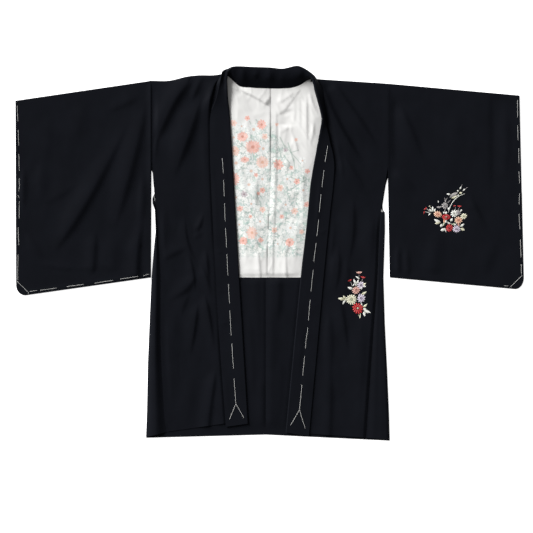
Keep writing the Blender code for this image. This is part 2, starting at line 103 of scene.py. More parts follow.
LEFT_SECTIONS = [Section(*row) for row in [
    (296, 402, 0, 412, 1.4, 0, 462, 21, 0, 434, 0.6, 11, -10),
    (296, 409, 30, 412, 1.4, 33, 459, 21, 32, 437, 0.6, 9, -9),
    (296, 414, 60, 415, 1.4, 66, 466, 22, 66, 443, 0.6, 9, -9),
    (296, 419, 80, 423, 1.6, 80, 461.5, 23, 88, 450, 1.5, 6, -6),
    (296, 422.5, 95, 433, 2.4, 98, 449, 23, 104, 450, 6.0, 2, -1),
    (296, 424, 103.5, 436, 3.4, 105, 441, 24, 111.5, 443, 14, 1, 0),
    (296, 422.5, 107.5, 429, 4.2, 109, 430, 24, 119, 432, 13, 0, 1),
    (296, 414, 112, 410, 4.2, 113.5, 410, 24, 131, 410, 9.5, 0, 1),
    (296, 389, 119, 384, 4.1, 120.5, 384, 24, 136, 384, 7.5, 0, 1),
    (296, 362, 126, 358, 4.1, 127, 359, 23, 139, 358, 7.5, 0, 1),
    (296, 338, 131, 335, 4.0, 131.5, 339, 20, 139, 334, 9.0, 0, 1),
    (296, 309, 138, 309, 4.0, 126.4, 309, 15, 144, 311, 10.0, 0, 1),
    (296, 279, 148, 279, 3.8, 121, 279, 11, 151, 279, 9.5, 0, 0.5),
    (296, 222, 157.5, 222, 3.6, 110.5, 222, 7.5, 161, 222, 7.5, 0, 0),
    (290, 184, 156.4, 184, 3.6, 104, 184, 6.0, 159.4, 184, 6.2, 0, 0.5),
    (277, 100, 147.3, 100, 3.6, 95.8, 100, 5.4, 150.3, 100, 5.9, 0, 0.8),
    (268, -60, 131.4, -60, 3.6, 77.9, -60, 5.4, 134.4, -60, 5.9, 0, 0.8),
    (256, -216, 117, -216, 3.6, 62.5, -216, 5.4, 120, -216, 5.9, 0, 0.8),
    (239, -460, 95.4, -450, 3.6, 41, -440, 5.4, 98.4, -450.5, 5.9, 0, 0.8),
]]
LEFT_COLLAR_END = Section(0, 0, 94.6, -456.5, 3.6, 40.4, -447, 5.4, 97.6, -457, 5.9, 0, 0.8)

# Side edge of the back, and of the gusset on it, from the hem up: y and x.
RIGHT_SIDE = [
    (-460, -308.9), (-396, -306.4), (-276, -304.1), (-156, -299.1), (-61, -294.9), (9, -289.1),
    (54, -284.6), (109, -286.6), (127, -292.5), (143, -293), (150, -287), (166, -284.6),
    (196, -289.5), (208, -296), (320, -296),
]
LEFT_SIDE = [
    (-467, 299.9), (-398, 298), (-291, 293.4), (-176, 287.6), (-60, 284.1), (59, 287.9),
    (104, 287.5), (113, 281), (144, 285.9), (176, 291), (188, 296), (300, 296),
]

# How far the shoulder's outline departs from a straight line, along X.
RIGHT_SHOULDER_WAVE = [(-296, 0), (-254, -4.2), (-200, 2), (-180, 2), (-136, -1.4), (-112, 0)]
LEFT_SHOULDER_WAVE = [(104, 0), (296, 0)]

# The right front stands up beside the collar's seam, and falls to it: y, how far off, how high.
LIPS = [
    (436, 3, 0), (412, 4, 5), (388, 5, 6.5), (352, 6.5, 3.4), (320, 7.5, 2.2), (60, 7.5, 2.2),
    (10, 7.5, 0.9), (-160, 7.5, 0.9), (-215, 7.5, 2.2), (-440, 7.5, 2.2),
]
LIP_FALL, LIP_SLOPE = 2.4, 28.0         # widths of its steep and its slow side where it is low
# The left front stands up beside its gusset, below EDGE_TOP_Y.
EDGE_CREST, EDGE_RISE, EDGE_TOP_Y = 6.0, 2.4, 110.0
EDGE_FALL, EDGE_SLOPE = 3.4, 30.0

# A crease or soft fold runs along a curve through three points. side_a and side_b are its widths to
# the left and right of its run, height is negative in a trough, and it fades in over the share
# begin of its length and out over end, where it also narrows.
Crease = namedtuple(
    "Crease", "x0 y0 x1 y1 x2 y2 side_a side_b height begin end", defaults=(0.4, 0.5)
)
RIGHT_FRONT_CREASES = [
    (-208, 426, -250, 362, -287, 272, 15, 42, 6.8, 0.0, 0.35),
    (-172, 396, -203, 300, -246, 180, 15, 46, 6.8, 0.4, 0.45),
    (-172, 440, -184, 412, -196, 378, 10, 16, 3.4, 0.0),
    (-276, 300, -290, 256, -288, 214, 9, 8, 2.6),
    (-146, 320, -152, 240, -156, 150, 10, 18, 2.0),
    (-210, 104, -206, 24, -172, -34, 6, 22, 2.6),
    (-174, -20, -158, -66, -140, -112, 6, 18, 2.2),
    (-164, 104, -174, 74, -184, 44, 5, 13, 1.8),
    (-196, 36, -178, 45, -160, 54, 12, 4, 1.2),
    (-192, 52, -180, 66, -164, 84, 12, 4, 1.0),
    (-204, 16, -240, 0, -282, -22, 6, 22, 2.0),
    (-160, 14, -156, -34, -150, -84, 6, 18, 2.6),
    (-206, 8, -192, -50, -188, -100, 5, 18, 2.4),
    (-188, -50, -210, -88, -262, -118, 9, 26, 3.2),
    (-196, -96, -216, -128, -222, -168, 8, 22, 1.6),
    (-180, -120, -190, -190, -200, -262, 7, 26, 3.2, 0.3),
    (-164, -100, -152, -160, -136, -250, 6, 24, 3.2, 0.35),
    (-134, -290, -146, -350, -158, -452, 9, 24, 3.4, 0.4, 0.0),
    (-236, -130, -246, -240, -240, -380, 26, 34, 1.6),
    (-190, -290, -204, -370, -208, -440, 22, 30, 1.4),
    (-262, 120, -266, 60, -262, -10, 14, 26, 1.6),
]
LEFT_FRONT_CREASES = [
    (124, 430, 177, 309, 236, 226, 10, 36, 6.4, 0.0, 0.4),
    (154, 430, 215, 343, 276, 256, 9, 38, 4.6, 0.1, 0.45),
    (176, 262, 206, 206, 246, 152, 9, 32, 2.6),
    (160, 300, 172, 240, 186, 178, 10, 22, 2.4),
    (205, 150, 206, 58, 194, -28, 10, 34, 3.4),
    (250, 120, 246, 40, 244, -60, 22, 34, 1.6),
    (168, 20, 170, -40, 160, -100, 9, 26, 3.0),
    (156, 110, 154, 40, 148, -30, 10, 16, 1.8),
    (190, -10, 193, -56, 190, -110, 10, 18, 1.6),
    (172, -96, 184, -176, 196, -260, 8, 26, 2.6),
    (146, -140, 150, -230, 146, -330, 12, 18, 2.0),
    (150, -280, 149, -366, 146, -456, 11, 22, 2.4, 0.4, 0.0),
    (228, -150, 226, -250, 222, -380, 18, 34, 1.6),
]
# Troughs and ridges of the turned-up hem, which shows between the collar's two ends.
FACING_CREASES = [
    (4, -66, 3, -220, 2, -440, 20, 11, 1.7, 0.0, 0.0),
    (22, -66, 21, -120, 17, -180, 11, 20, 2.6, 0.0, 0.5),
    (-34, -66, -33, -150, -24, -280, 12, 20, 1.0, 0.0),
    (-22, -300, -21, -370, -20, -440, 8, 16, 1.2, 0.3, 0.0),
    (28, -240, 25, -340, 20, -430, 12, 20, 1.2),
    (-54, -120, -46, -250, -38, -400, 10, 16, 1.0),
]

# One half of the jacket. side is the sign of its X, and edge is the side edge of its back.
Half = namedtuple("Half", "label side sections collar_end edge wave front_creases")
RIGHT = Half("right", -1, RIGHT_SECTIONS, RIGHT_COLLAR_END, RIGHT_SIDE, RIGHT_SHOULDER_WAVE,
             RIGHT_FRONT_CREASES)
LEFT = Half("left", 1, LEFT_SECTIONS, LEFT_COLLAR_END, LEFT_SIDE, LEFT_SHOULDER_WAVE,
            LEFT_FRONT_CREASES)


def smooth(value):
    """Held between 0 and 1, leaving and reaching both gently."""
    value = np.clip(value, 0.0, 1.0)
    return value * value * (3 - 2 * value)


def part_way(start, end, share):
    """The value this share of the way from start to end."""
    return start + (end - start) * share


def mound(off, width):
    """1 along a line, falling to nothing beside it."""
    return np.exp(-((off / width) ** 2))


def arc(start, steer, end, t):
    """A point on the curve that leaves its start and reaches its end by way of a steering point."""
    return start * (1 - t) ** 2 + steer * (2 * t * (1 - t)) + end * t**2


def between(t, run, values, slopes, k):
    """A point on the smooth curve from one row of values to the next, by the slopes at both."""
    return (
        (2 * t**3 - 3 * t**2 + 1) * values[k]
        + (t**3 - 2 * t**2 + t) * run * slopes[k]
        + (3 * t**2 - 2 * t**3) * values[k + 1]
        + (t**3 - t**2) * run * slopes[k + 1]
    )


def columns(table, column=1):
    """A table's first column in rising order, and another one beside it."""
    return np.array(sorted((row[0], row[column]) for row in table), float).T


def read_across(table, at, column=1):
    """A column of a table, at a value of its first one."""
    return np.interp(at, *columns(table, column))


def read_curve(table, at):
    """As read_across, along a smooth curve through the table."""
    firsts, seconds = columns(table)
    at = np.clip(at, firsts[0], firsts[-1])
    k = np.clip(np.searchsorted(firsts, at) - 1, 0, len(firsts) - 2)
    run = firsts[k + 1] - firsts[k]
    return between((at - firsts[k]) / run, run, seconds, np.gradient(seconds, firsts), k)


def sections_between(sections, spacing):
    """Smoothly spaced sections through the table's rows, and each one's place in the table."""
    table = np.array(sections, float)
    lengths = np.linalg.norm(np.diff(table[:, 2:5], axis=0), axis=1)
    slopes = np.gradient(table, np.concatenate([[0], np.cumsum(lengths)]), axis=0)
    found = []
    for k, length in enumerate(lengths):
        for t in np.linspace(0, 1, max(1, round(length / spacing)) + 1)[:-1]:
            found.append((k + t, Section(*between(t, length, table, slopes, k))))
    return found + [(len(sections) - 1.0, Section(*table[-1]))]


def creased(creases, x, y):
    """Height of all the folds of a piece at each place."""
    height = np.zeros_like(x)
    steps = np.linspace(0, 1, 13)
    for row in creases:
        fold = Crease(*row)
        line_x = arc(fold.x0, 2 * fold.x1 - (fold.x0 + fold.x2) / 2, fold.x2, steps)
        line_y = arc(fold.y0, 2 * fold.y1 - (fold.y0 + fold.y2) / 2, fold.y2, steps)
        nearest = np.full_like(x, 1e9)
        along, turned = np.zeros_like(x), np.zeros_like(x)
        for k in range(len(steps) - 1):
            run_x, run_y = line_x[k + 1] - line_x[k], line_y[k + 1] - line_y[k]
            off_x, off_y = x - line_x[k], y - line_y[k]
            share = np.clip((off_x * run_x + off_y * run_y) / (run_x**2 + run_y**2), 0, 1)
            away = np.hypot(off_x - run_x * share, off_y - run_y * share)
            closer = away < nearest
            nearest = np.where(closer, away, nearest)
            along = np.where(closer, (k + share) / (len(steps) - 1), along)
            turned = np.where(closer, run_x * off_y - run_y * off_x, turned)
        shown = smooth(along / fold.begin) if fold.begin else 1.0
        shown = shown * (smooth((1 - along) / fold.end) if fold.end else 1.0)
        width = np.where(turned > 0, fold.side_a, fold.side_b) * (0.5 + 0.5 * shown)
        height += fold.height * shown * np.exp(-1.6 * (nearest / width) ** 2)
    return height


def wandering(x, y, size, squeeze, seed):
    """A value that wanders between about -1 and 1 from place to place."""
    flat = np.stack([x, y], axis=-1).reshape(-1, 2)
    waves = [noise.noise(Vector((a / size, b / size * squeeze, seed))) for a, b in flat]
    return np.array(waves).reshape(x.shape)


def uneven(x, y, size, height):
    """Slow, shallow waves, as cloth that was folded and laid out keeps."""
    return height * wandering(x, y, size, 0.6, size)


def crepe_folds(creases, x, y):
    """A black piece's creases, on the long and short waves of its crepe."""
    return creased(creases, x, y) + uneven(x, y, *LONG_WAVE) + uneven(x, y, *SHORT_WAVE)


def flat_row(half, y_side, y_middle, middle_x, z, inset=0.0):
    """A row of points from the back's side edge to its centre seam."""
    edge_x = read_across(half.edge, y_side) - half.side * inset
    x = part_way(edge_x, middle_x, ACROSS)
    return np.stack([x, part_way(y_side, y_middle, ACROSS), np.full_like(x, z)], axis=-1)


def turned_up_hem(half):
    """From the lining's end down to the hem's fold, and round it."""
    hem_y = half.edge[0][0]
    fold_line = [(s.fold_y, s.fold_x) for s in half.sections[SHOULDER:]]
    rows = []
    for share in np.linspace(0, 1, FACING_ROWS):
        y_side = part_way(LINING_END_Y, hem_y + HEM_PRESS, share)
        y_middle = part_way(LINING_END_Y, HEM_MIDDLE_Y + HEM_PRESS, share)
        row = flat_row(half, y_side, y_middle, BACK_SEAM_X, INSIDE_Z, INSET)
        x, y = row[:, 0], row[:, 1]
        if half.side < 0:
            loft = FACING_LOFT * smooth(abs(x - BACK_SEAM_X) / SEAM_GROOVE)
        else:
            loft = FACING_LOFT * smooth((read_across(fold_line, y) - x) / FOLD_DIP)
        ease = smooth((LINING_END_Y - y) / END_EASE) * smooth((1 - share) * 12) * smooth(ACROSS * 8)
        row[:, 2] += (creased(FACING_CREASES, x, y) + loft) * ease
        rows.append(row)
    turn = (INSIDE_Z - BACK_Z) / 2
    for short, z in ((turn, INSIDE_Z), (0, BACK_Z + turn), (turn, BACK_Z)):
        rows.append(flat_row(half, hem_y + short, HEM_MIDDLE_Y + short, BACK_SEAM_X, z))
    return rows


def back(half):
    """From the hem up to the shoulder."""
    hem_y = half.edge[0][0]
    shoulder = half.sections[0]
    rows = []
    for y in np.linspace(hem_y, half.edge[-1][0], BACK_ROWS)[1:]:
        y_middle = part_way(HEM_MIDDLE_Y, shoulder.seam_y, (y - hem_y) / (shoulder.side_y - hem_y))
        seam_x = BACK_SEAM_X * smooth((SLANT_TOP_Y - y_middle) / SLANT)
        rows.append(flat_row(half, y, y_middle, seam_x, BACK_Z))
    return rows


def raised_edge(half, section, seam_x, x, y):
    """How far the right front stands up beside the collar, and the left one beside its gusset."""
    if half.side < 0:
        crest, rise = (read_across(LIPS, section.seam_y, column) for column in (1, 2))
        off = seam_x - x - crest
        width = np.where(off < 0, LIP_FALL + 0.5 * rise, LIP_SLOPE - 2.5 * rise)
        return rise * mound(off, width) * smooth((seam_x - x) / 3)
    off = section.side_x - x - EDGE_CREST
    rise = EDGE_RISE * smooth((EDGE_TOP_Y - y) / 60)
    return rise * mound(off, np.where(off < 0, EDGE_FALL, EDGE_SLOPE)) * smooth((section.side_x - x) / 3)


def seam_point(half, place, section):
    """Where the body's cloth ends beside the collar's seam.

    The cloth lies below the seam at the back neck, and towards the side edge along the front.
    """
    turn = math.pi / 2 * float(smooth(place / SHOULDER))
    beside = Vector((half.side * math.sin(turn), -math.cos(turn), 0)) * CLOTH / 2
    seam = Vector((section.seam_x, section.seam_y, section.seam_z)) + beside
    return seam if place else Vector((0, seam.y, seam.z))


def front(half):
    """Over the shoulder and down to the front's hem."""
    rows = []
    for place, section in sections_between(half.sections, BODY_STEP):
        inner = seam_point(half, place, section)
        side_z = part_way(BACK_Z, FRONT_Z, min(1.0, max(0.0, (place - SHOULDER + 1) / 2)))
        inner_z = part_way(BACK_Z, section.seam_z, smooth(place - SHOULDER + 1))
        x = part_way(section.side_x, inner.x, ACROSS)
        y = part_way(section.side_y, inner.y, ACROSS)
        y += read_curve(half.wave, x) * smooth(1 - abs(place - SHOULDER) / 3)
        z = part_way(side_z, inner_z, smooth(ACROSS))
        if place > SHOULDER:
            ease = smooth((abs(x - section.side_x) - SEAM_FLAT) / SEAM_EASE)
            ease *= smooth((abs(x - inner.x) - COLLAR_FLAT) / COLLAR_EASE)
            z += crepe_folds(half.front_creases, x, y) * ease * smooth((place - SHOULDER) / 3.5)
            z = np.maximum(z, min(side_z, FRONT_Z - 0.3)) + raised_edge(half, section, inner.x, x, y)
        rows.append(np.stack([x, y, np.maximum(z, BACK_Z)], axis=-1))
    return rows


def cloth_piece(name, half, grid, material, thickness=CLOTH):
    """A thin shell on a grid of points across and along a piece of cloth."""
    corners = grid[:, :: half.side].reshape(-1, 3)
    faces = net(np.arange(len(corners)).reshape(grid.shape[:2]))
    return shell(name, corners, faces, material, thickness)


def net(numbers):
    """Four-sided faces on a grid of corners' numbers."""
    ring = [numbers[:-1, :-1], numbers[:-1, 1:], numbers[1:, 1:], numbers[1:, :-1]]
    return np.stack(ring, axis=-1).reshape(-1, 4)


def shell(name, corners, faces, material, thickness):
    """Cloth of an even thickness about its middle surface, with crisp rims."""
    thing = surface(name, corners, faces.tolist(), [material])
    wall = thing.modifiers.new("cloth", "SOLIDIFY")
    wall.thickness = thickness * MM
    wall.offset = 0
    wall.use_even_offset = True
    crisp = thing.modifiers.new("crisp rims", "WEIGHTED_NORMAL")
    crisp.weight = 100
    crisp.thresh = RIM_FACE
    return thing


def surface(name, corners, faces, materials):
    """A smooth mesh on corners given in millimetres."""
    mesh = bpy.data.meshes.new(name)
    mesh.from_pydata([tuple(corner) for corner in np.array(corners) * MM], [], faces)
    mesh.update()
    mesh.shade_smooth()
    for material in materials:
        mesh.materials.append(material)
    thing = bpy.data.objects.new(name, mesh)
    bpy.context.scene.collection.objects.link(thing)
    return thing


class Value:
    """A number, place or colour that a material works out at each point of a piece."""

    def __init__(self, socket):
        self.socket = socket
        self.tree = socket.id_data

    def by(self, operation, other=0.0):
        """Another value worked out from this one and, where the sum has two parts, other."""
        return step(self.tree, "Math", {0: self, 1: other}, operation=operation)[0]

    def __add__(self, other):
        return self.by("ADD", other)

    def __sub__(self, other):
        return self.by("SUBTRACT", other)

    def __mul__(self, other):
        return self.by("MULTIPLY", other)

    def __truediv__(self, other):
        return self.by("DIVIDE", other)

    def held(self):
        """Kept between 0 and 1."""
        self.socket.node.use_clamp = True
        return self

    def parts(self):
        """The X and Y of a place, or the first two parts of a colour."""
        return step(self.tree, "SeparateXYZ", {0: self})[:2]


def step(tree, kind, given, **settings):
    """One step of a material: what it is given by each input's name or number, and what comes out."""
    node = tree.nodes.new("ShaderNode" + kind)
    for name, setting in settings.items():
        setattr(node, name, setting)
    feed(node.inputs, given)
    return [Value(socket) for socket in node.outputs]


def feed(inputs, given):
    """Gives a step's inputs plain numbers and colours, or what other steps work out."""
    for label, value in given.items():
        socket = inputs[label]
        if isinstance(value, Value):
            value.tree.links.new(value.socket, socket)
        else:
            socket.default_value = (*value, 1) if socket.type == "RGBA" else value


def fabric(name, place="Object"):
    """A new material, its shader's inputs, and the place on the cloth."""
    material = bpy.data.materials.new(name)
    material.use_nodes = True
    tree = material.node_tree
    where = tree.nodes.new("ShaderNodeTexCoord").outputs[place]
    return material, tree.nodes["Principled BSDF"].inputs, Value(where)


def speckle(place, size_mm, detail=2.0, stretch=(1, 1, 1)):
    """Noise with grains of about this size."""
    stretched = step(place.tree, "Mapping", {"Vector": place, "Scale": stretch})[0]
    given = {"Vector": stretched, "Scale": 1 / (size_mm * MM), "Detail": detail}
    return step(place.tree, "TexNoise", given)[0]


def ramp(value, *stops):
    """Colours read along a value from 0 to 1."""
    colours = step(value.tree, "ValToRGB", {0: value})[0]
    band = colours.socket.node.color_ramp
    for element, (at, colour) in zip(band.elements, stops):
        element.position = at
        element.color = (*colour, 1)
    return colours


def bumped(height, depth_mm, strength=1.0):
    """The lie of a surface that carries this fine relief."""
    given = {"Height": height, "Distance": depth_mm * MM, "Strength": strength}
    return step(height.tree, "Bump", given)[0]


CREPE_GRAIN = (1.0, 0.55, 1.0)       # the pebbles are drawn out along the strip


def black_crepe(name):
    """Silk crepe: hard-twisted weft threads shrink into a fine pebbled grain with a low sheen."""
    material, shader, place = fabric(name)
    pebbles = speckle(place, 0.7, 3.0, CREPE_GRAIN)
    depth = pebbles * 0.6 + speckle(place, 45.0) * 0.4
    feed(shader, {
        "Base Color": ramp(depth, (0.3, (0.0045, 0.0050, 0.0069)), (0.7, (0.0058, 0.0065, 0.0092))),
        "Roughness": pebbles * 0.12 + 0.46,
        "Specular IOR Level": 0.02,
        "Sheen Weight": 0.004,
        "Sheen Roughness": 0.5,
        "Normal": bumped(pebbles, 0.12, 0.5),
    })
    return material


crepe = black_crepe("black_crepe_cloth")
bodies = {}
for half in (RIGHT, LEFT):
    grid = np.array(turned_up_hem(half) + back(half) + front(half))
    body = cloth_piece(half.label + "_body", half, grid, crepe)
    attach(body, "root")
    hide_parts("body_" + half.label)
    bodies[half.label] = body

# ---------------------------------------------------------------------------------------------
# Collar. A band of the same crepe, 116 mm wide and folded in two along its length, is sewn round
# the neck and down both fronts. It stands at the back of the neck and lies folded back over the
# fronts. Its two halves are seamed at the middle of the back.
# ---------------------------------------------------------------------------------------------

BAND = 1.5            # the band is two layers of cloth and a stiffening between them
FOLD_ROUND = 1.6      # how far each half of the band stands off its fold
FOLD_START = 2.6      # the fold's rounding starts this far from it
FOLD_NOSE = 1.1       # and is drawn out beyond the fold by this, along each leg
COLLAR_STEP = 4.0
INNER, TURN, OUTER = 8, 6, 18        # faces across its inner half, its fold and its outer half
STAND_Y, LIE_Y = 412.0, 380.0        # above the first it stands, and below the second it lies flat

# Ripples where the band is eased in along its seam, and soft dents on it.
RIGHT_COLLAR_CREASES = [
    (-148, 10, -130, 4, -112, 6, 5, 4, 1.0),
    (-146, -84, -128, -92, -104, -94, 6, 5, 1.1),
    (-140, -168, -120, -174, -96, -172, 6, 5, 0.9),
    (-146, 250, -138, 120, -132, -20, 7, 5, 0.9),
    (-104, 300, -98, 160, -88, 20, 8, 8, -0.7),
    (-126, -260, -112, -340, -100, -410, 8, 6, 0.9),
]
LEFT_COLLAR_CREASES = [
    (150, 60, 134, 54, 112, 58, 6, 5, 1.0),
    (142, -120, 124, -128, 100, -126, 6, 5, 0.9),
    (126, 220, 122, 120, 108, 20, 9, 7, 1.0),
    (96, -160, 84, -260, 72, -380, 9, 8, -0.7),
    (112, -300, 104, -360, 98, -430, 7, 6, 0.8),
]
# The inner half is rolled at the back of the neck, and ripples because it is eased in.
NECK_ROLL = 3.0
NECK_RIPPLES = [
    (-94, 462, -92, 446, -88, 428, 8, 14, 2.0, 0.0, 0.0),
    (-70, 470, -67, 450, -64, 430, 8, 16, 3.6, 0.0, 0.0),
    (-36, 470, -33, 452, -38, 436, 7, 14, 2.6, 0.0, 0.2),
    (-2, 470, 0, 450, 1, 425, 10, 18, 4.0, 0.0, 0.0),
    (36, 470, 32, 448, 30, 425, 14, 9, 1.2, 0.0, 0.0),
    (78, 472, 76, 450, 70, 430, 10, 36, 4.6, 0.0, 0.0),
    (100, 470, 98, 448, 92, 430, 7, 10, 2.0, 0.0, 0.0),
]


def collar_row(row):
    """Points across the folded band: from its seam to the fold, round it, and to the free edge."""
    seam = Vector((row.seam_x, row.seam_y, row.seam_z))
    fold = Vector((row.fold_x, row.fold_y, row.fold_z))
    edge = Vector((row.edge_x, row.edge_y, row.edge_z))
    outward = Vector((fold.x - seam.x, fold.y - seam.y, 0)).normalized()
    middle = (fold + edge) / 2 + outward * row.out + Vector((0, 0, row.up))
    leg_in, leg_out = (seam - fold).normalized(), (middle - fold).normalized()
    over = (leg_out - leg_in).normalized()
    before = fold + leg_in * FOLD_START - over * FOLD_ROUND
    after = fold + leg_out * FOLD_START + over * FOLD_ROUND
    nose = fold - (leg_in + leg_out) * FOLD_NOSE
    steer = 2 * middle - (after + edge) / 2
    points = [seam.lerp(before, share) for share in np.linspace(0, 1, INNER + 1)[:-1]]
    points += [arc(before, nose, after, t) for t in np.linspace(0, 1, TURN + 1)[:-1]]
    return points + [arc(after, steer, edge, t) for t in np.linspace(0, 1, OUTER + 1)]


def collar_grid(half, creases):
    """The band from the middle of the back neck to its end, rippled inside and creased outside."""
    rows = []
    for place, section in sections_between(half.sections, COLLAR_STEP) + [(None, half.collar_end)]:
        points = collar_row(section)
        rows.append([(0.0 if place == 0 else p.x, p.y, max(p.z, BACK_Z)) for p in points])
    grid = np.array(rows)
    x, y, z = np.moveaxis(grid[:, : INNER + 1], 2, 0)
    standing = smooth((y - STAND_Y) / 26) * np.sin(math.pi * np.linspace(0, 1, INNER + 1)) ** 0.7
    z += (creased(NECK_RIPPLES, x, y) + NECK_ROLL) * standing
    x, y, z = np.moveaxis(grid[:, INNER + TURN + 1 :], 2, 0)
    across = np.linspace(0, 1, OUTER)
    lying = smooth((LIE_Y - y) / 60) * smooth(across / 0.25) * smooth((1 - across) / 0.3)
    z += (creased(creases, x, y) + uneven(x, y, 40, 0.7)) * lying
    return grid


collars = {}
for half, creases in ((RIGHT, RIGHT_COLLAR_CREASES), (LEFT, LEFT_COLLAR_CREASES)):
    collar = cloth_piece(half.label + "_collar", half, collar_grid(half, creases), crepe, BAND)
    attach(collar, "root")
    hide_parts("collar_neck_" + half.label, "collar_front_" + half.label)
    half.label + "_body"
    collars[half.label] = collar

# ---------------------------------------------------------------------------------------------
# Gussets. A long narrow wedge of crepe is let in between front and back from under the arm to the
# hem, and stands in soft pleats because it is wider than the space it lies in.
# ---------------------------------------------------------------------------------------------

# How high the pleats stand across a gusset, from the front's edge (0) to the back's (1).
RIGHT_GUSSET = [
    (0, 2.8), (0.07, 2.6), (0.16, 3.6), (0.28, 5.8), (0.42, 8.8), (0.52, 10.0), (0.66, 9.4),
    (0.82, 7.2), (0.92, 4.8), (1, 2.1),
]
LEFT_GUSSET = [
    (0, 2.7), (0.06, 2.7), (0.16, 3.6), (0.32, 4.8), (0.5, 5.0), (0.75, 5.4), (0.93, 4.4), (1, 2.1),
]
RIGHT_GUSSET_Y = (126.0, -458.5)    # its tip, and its outer corner at the hem
LEFT_GUSSET_Y = (104.0, -465.5)
GUSSET_ROWS = 120
TIP_SWELL = 0.35                    # share of the pleats' height that they have at the tip
UNDER_FRONT = 0.6                   # the wedge starts this far in from the front's edge
GUSSET_WIDTH, GUSSET_MEAN = 0.06, 0.036     # widest, and on average down its length, in metres


def gusset_grid(half, pleats, ends):
    """The wedge from its tip to the hem, between the front's edge and the back's."""
    top_y, hem_y = ends
    front_edge = [
        (s.side_y, s.side_x) for place, s in sections_between(half.sections, 20) if place > SHOULDER + 1
    ]
    front_hem_y = half.sections[-1].side_y
    across = np.linspace(0, 1, 25)
    height = read_curve(pleats, across)
    rows = []
    for y_front in np.linspace(top_y, front_hem_y, GUSSET_ROWS):
        share = (top_y - y_front) / (top_y - front_hem_y)
        y_side = part_way(top_y, hem_y, share)
        front_x = read_across(front_edge, y_front) - half.side * UNDER_FRONT
        swell = part_way(TIP_SWELL, 1, smooth(share * 1.4))
        x = part_way(front_x, read_across(half.edge, y_side), across)
        z = np.where(height <= FRONT_Z, height, part_way(FRONT_Z, height, swell))
        rows.append(np.stack([x, part_way(y_front, y_side, across), z], axis=-1))
    return np.array(rows)


for half, pleats, ends in ((RIGHT, RIGHT_GUSSET, RIGHT_GUSSET_Y), (LEFT, LEFT_GUSSET, LEFT_GUSSET_Y)):
    gusset = cloth_piece(half.label + "_gusset", half, gusset_grid(half, pleats, ends), crepe)
    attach(gusset, "root")
    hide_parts("gusset_" + half.label)
    length = (ends[0] - ends[1]) * MM
    half.label + "_body"
    GUSSET_MEAN * length

# ---------------------------------------------------------------------------------------------
# Sleeves. Each is one length of crepe, 340 mm wide, folded at the top and closed along the bottom
# and the lower part of the cuff. The hand's opening runs 246 mm down from the fold, and the lower
# outer corner is rounded off over its gathered seam allowance.
# ---------------------------------------------------------------------------------------------

Sleeve = namedtuple(
    "Sleeve", "inner top_y bottom_y foot cuff_top cuff_top_y cuff_low cuff_low_y cut_x cut_y"
)
RIGHT_SLEEVE = Sleeve(-295.4, 431.3, -59.5, -296.5, -635.4, 381.3, -633.1, -80.3, -609.6, -104)
LEFT_SLEEVE = Sleeve(295.4, 424, -59.5, 300, 624.4, 394.5, 635.4, -60.3, 613.4, -88.5)
CUFF_OPENING = 246.0
RIM = 2.0                                   # a folded edge rounds over within this width
RIM_Z = (BACK_Z + FRONT_Z) / 2
CORNER_ROUND = 0.62                         # how far the corner is drawn in towards a straight cut
PRESSED_LINE, PRESSED_RISE = 6.0, 1.0       # the bottom seam shows as a line just above the edge
PRESSED_WIDTH = 1.8
ROLL_WIDTH, ROLL_RISE = 6.5, 1.8            # the seam allowances lift the sleeve beside the body
ROLL_CREST = 2.5                            # on the left they lie right at the seam
ROLL_FOOT_Y = 150.0
SEAM_NOTCH = 0.5                            # the right sleeve dips into the seam by this
ARMHOLE_END_Y = 190.0                       # below it the sleeve hangs free of the body
RIGHT_SLEEVE_CREASES = [
    (-340, 366, -442, 160, -548, -4, 14, 40, 5.6, 0.6, 0.3),
    (-304, 404, -346, 222, -394, 50, 14, 40, 5.0, 0.4, 0.4),
    (-318, 210, -320, 130, -326, 60, 14, 12, 2.6),
    (-316, 96, -330, 10, -331, -58, 8, 28, 4.6, 0.5, 0.0),
    (-436, 66, -440, 0, -444, -54, 8, 28, 3.0, 0.4, 0.2),
    (-613, 224, -617, 159, -614, 100, 11, 12, 2.8),
    (-574, 236, -571, 179, -575, 120, 22, 18, 2.0),
    (-482, 176, -524, 150, -566, 122, 13, 34, 1.6),
    (-586, -24, -522, -36, -446, -42, 16, 4, 1.1),
    (-322, 396, -364, 376, -420, 350, 12, 26, 2.0),
    (-560, 350, -558, 280, -568, 220, 26, 30, 1.6),
    (-470, 380, -480, 320, -500, 250, 26, 34, 1.6),
    (-606, 60, -590, 20, -560, -10, 10, 16, 1.4),
    (-384, 60, -396, 0, -404, -50, 24, 34, 1.6, 0.4, 0.2),
]
LEFT_SLEEVE_CREASES = [
    (314, 404, 313, 300, 317, 190, 34, 9, -1.6, 0.2, 0.4),
    (320, 380, 350, 310, 392, 212, 10, 30, 3.2),
    (306, 216, 334, 186, 374, 148, 9, 26, 2.2),
    (500, 154, 518, 102, 552, 54, 8, 28, 2.8),
    (558, 404, 560, 250, 555, 80, 40, 11, -1.8, 0.1),
    (590, 384, 590, 280, 586, 160, 14, 26, 1.8),
    (322, 26, 320, -14, 322, -54, 7, 9, 2.2, 0.4, 0.2),
    (342, 20, 343, -20, 346, -56, 9, 9, 1.8, 0.4, 0.2),
    (470, 370, 462, 300, 448, 230, 30, 30, 1.6),
    (566, 40, 544, -16, 530, -66, 20, 26, 1.6),
    (422, 70, 411, 0, 406, -56, 22, 26, 1.8, 0.4, 0.2),
]
SLEEVE_COLUMNS, SLEEVE_ROWS = 68, 98


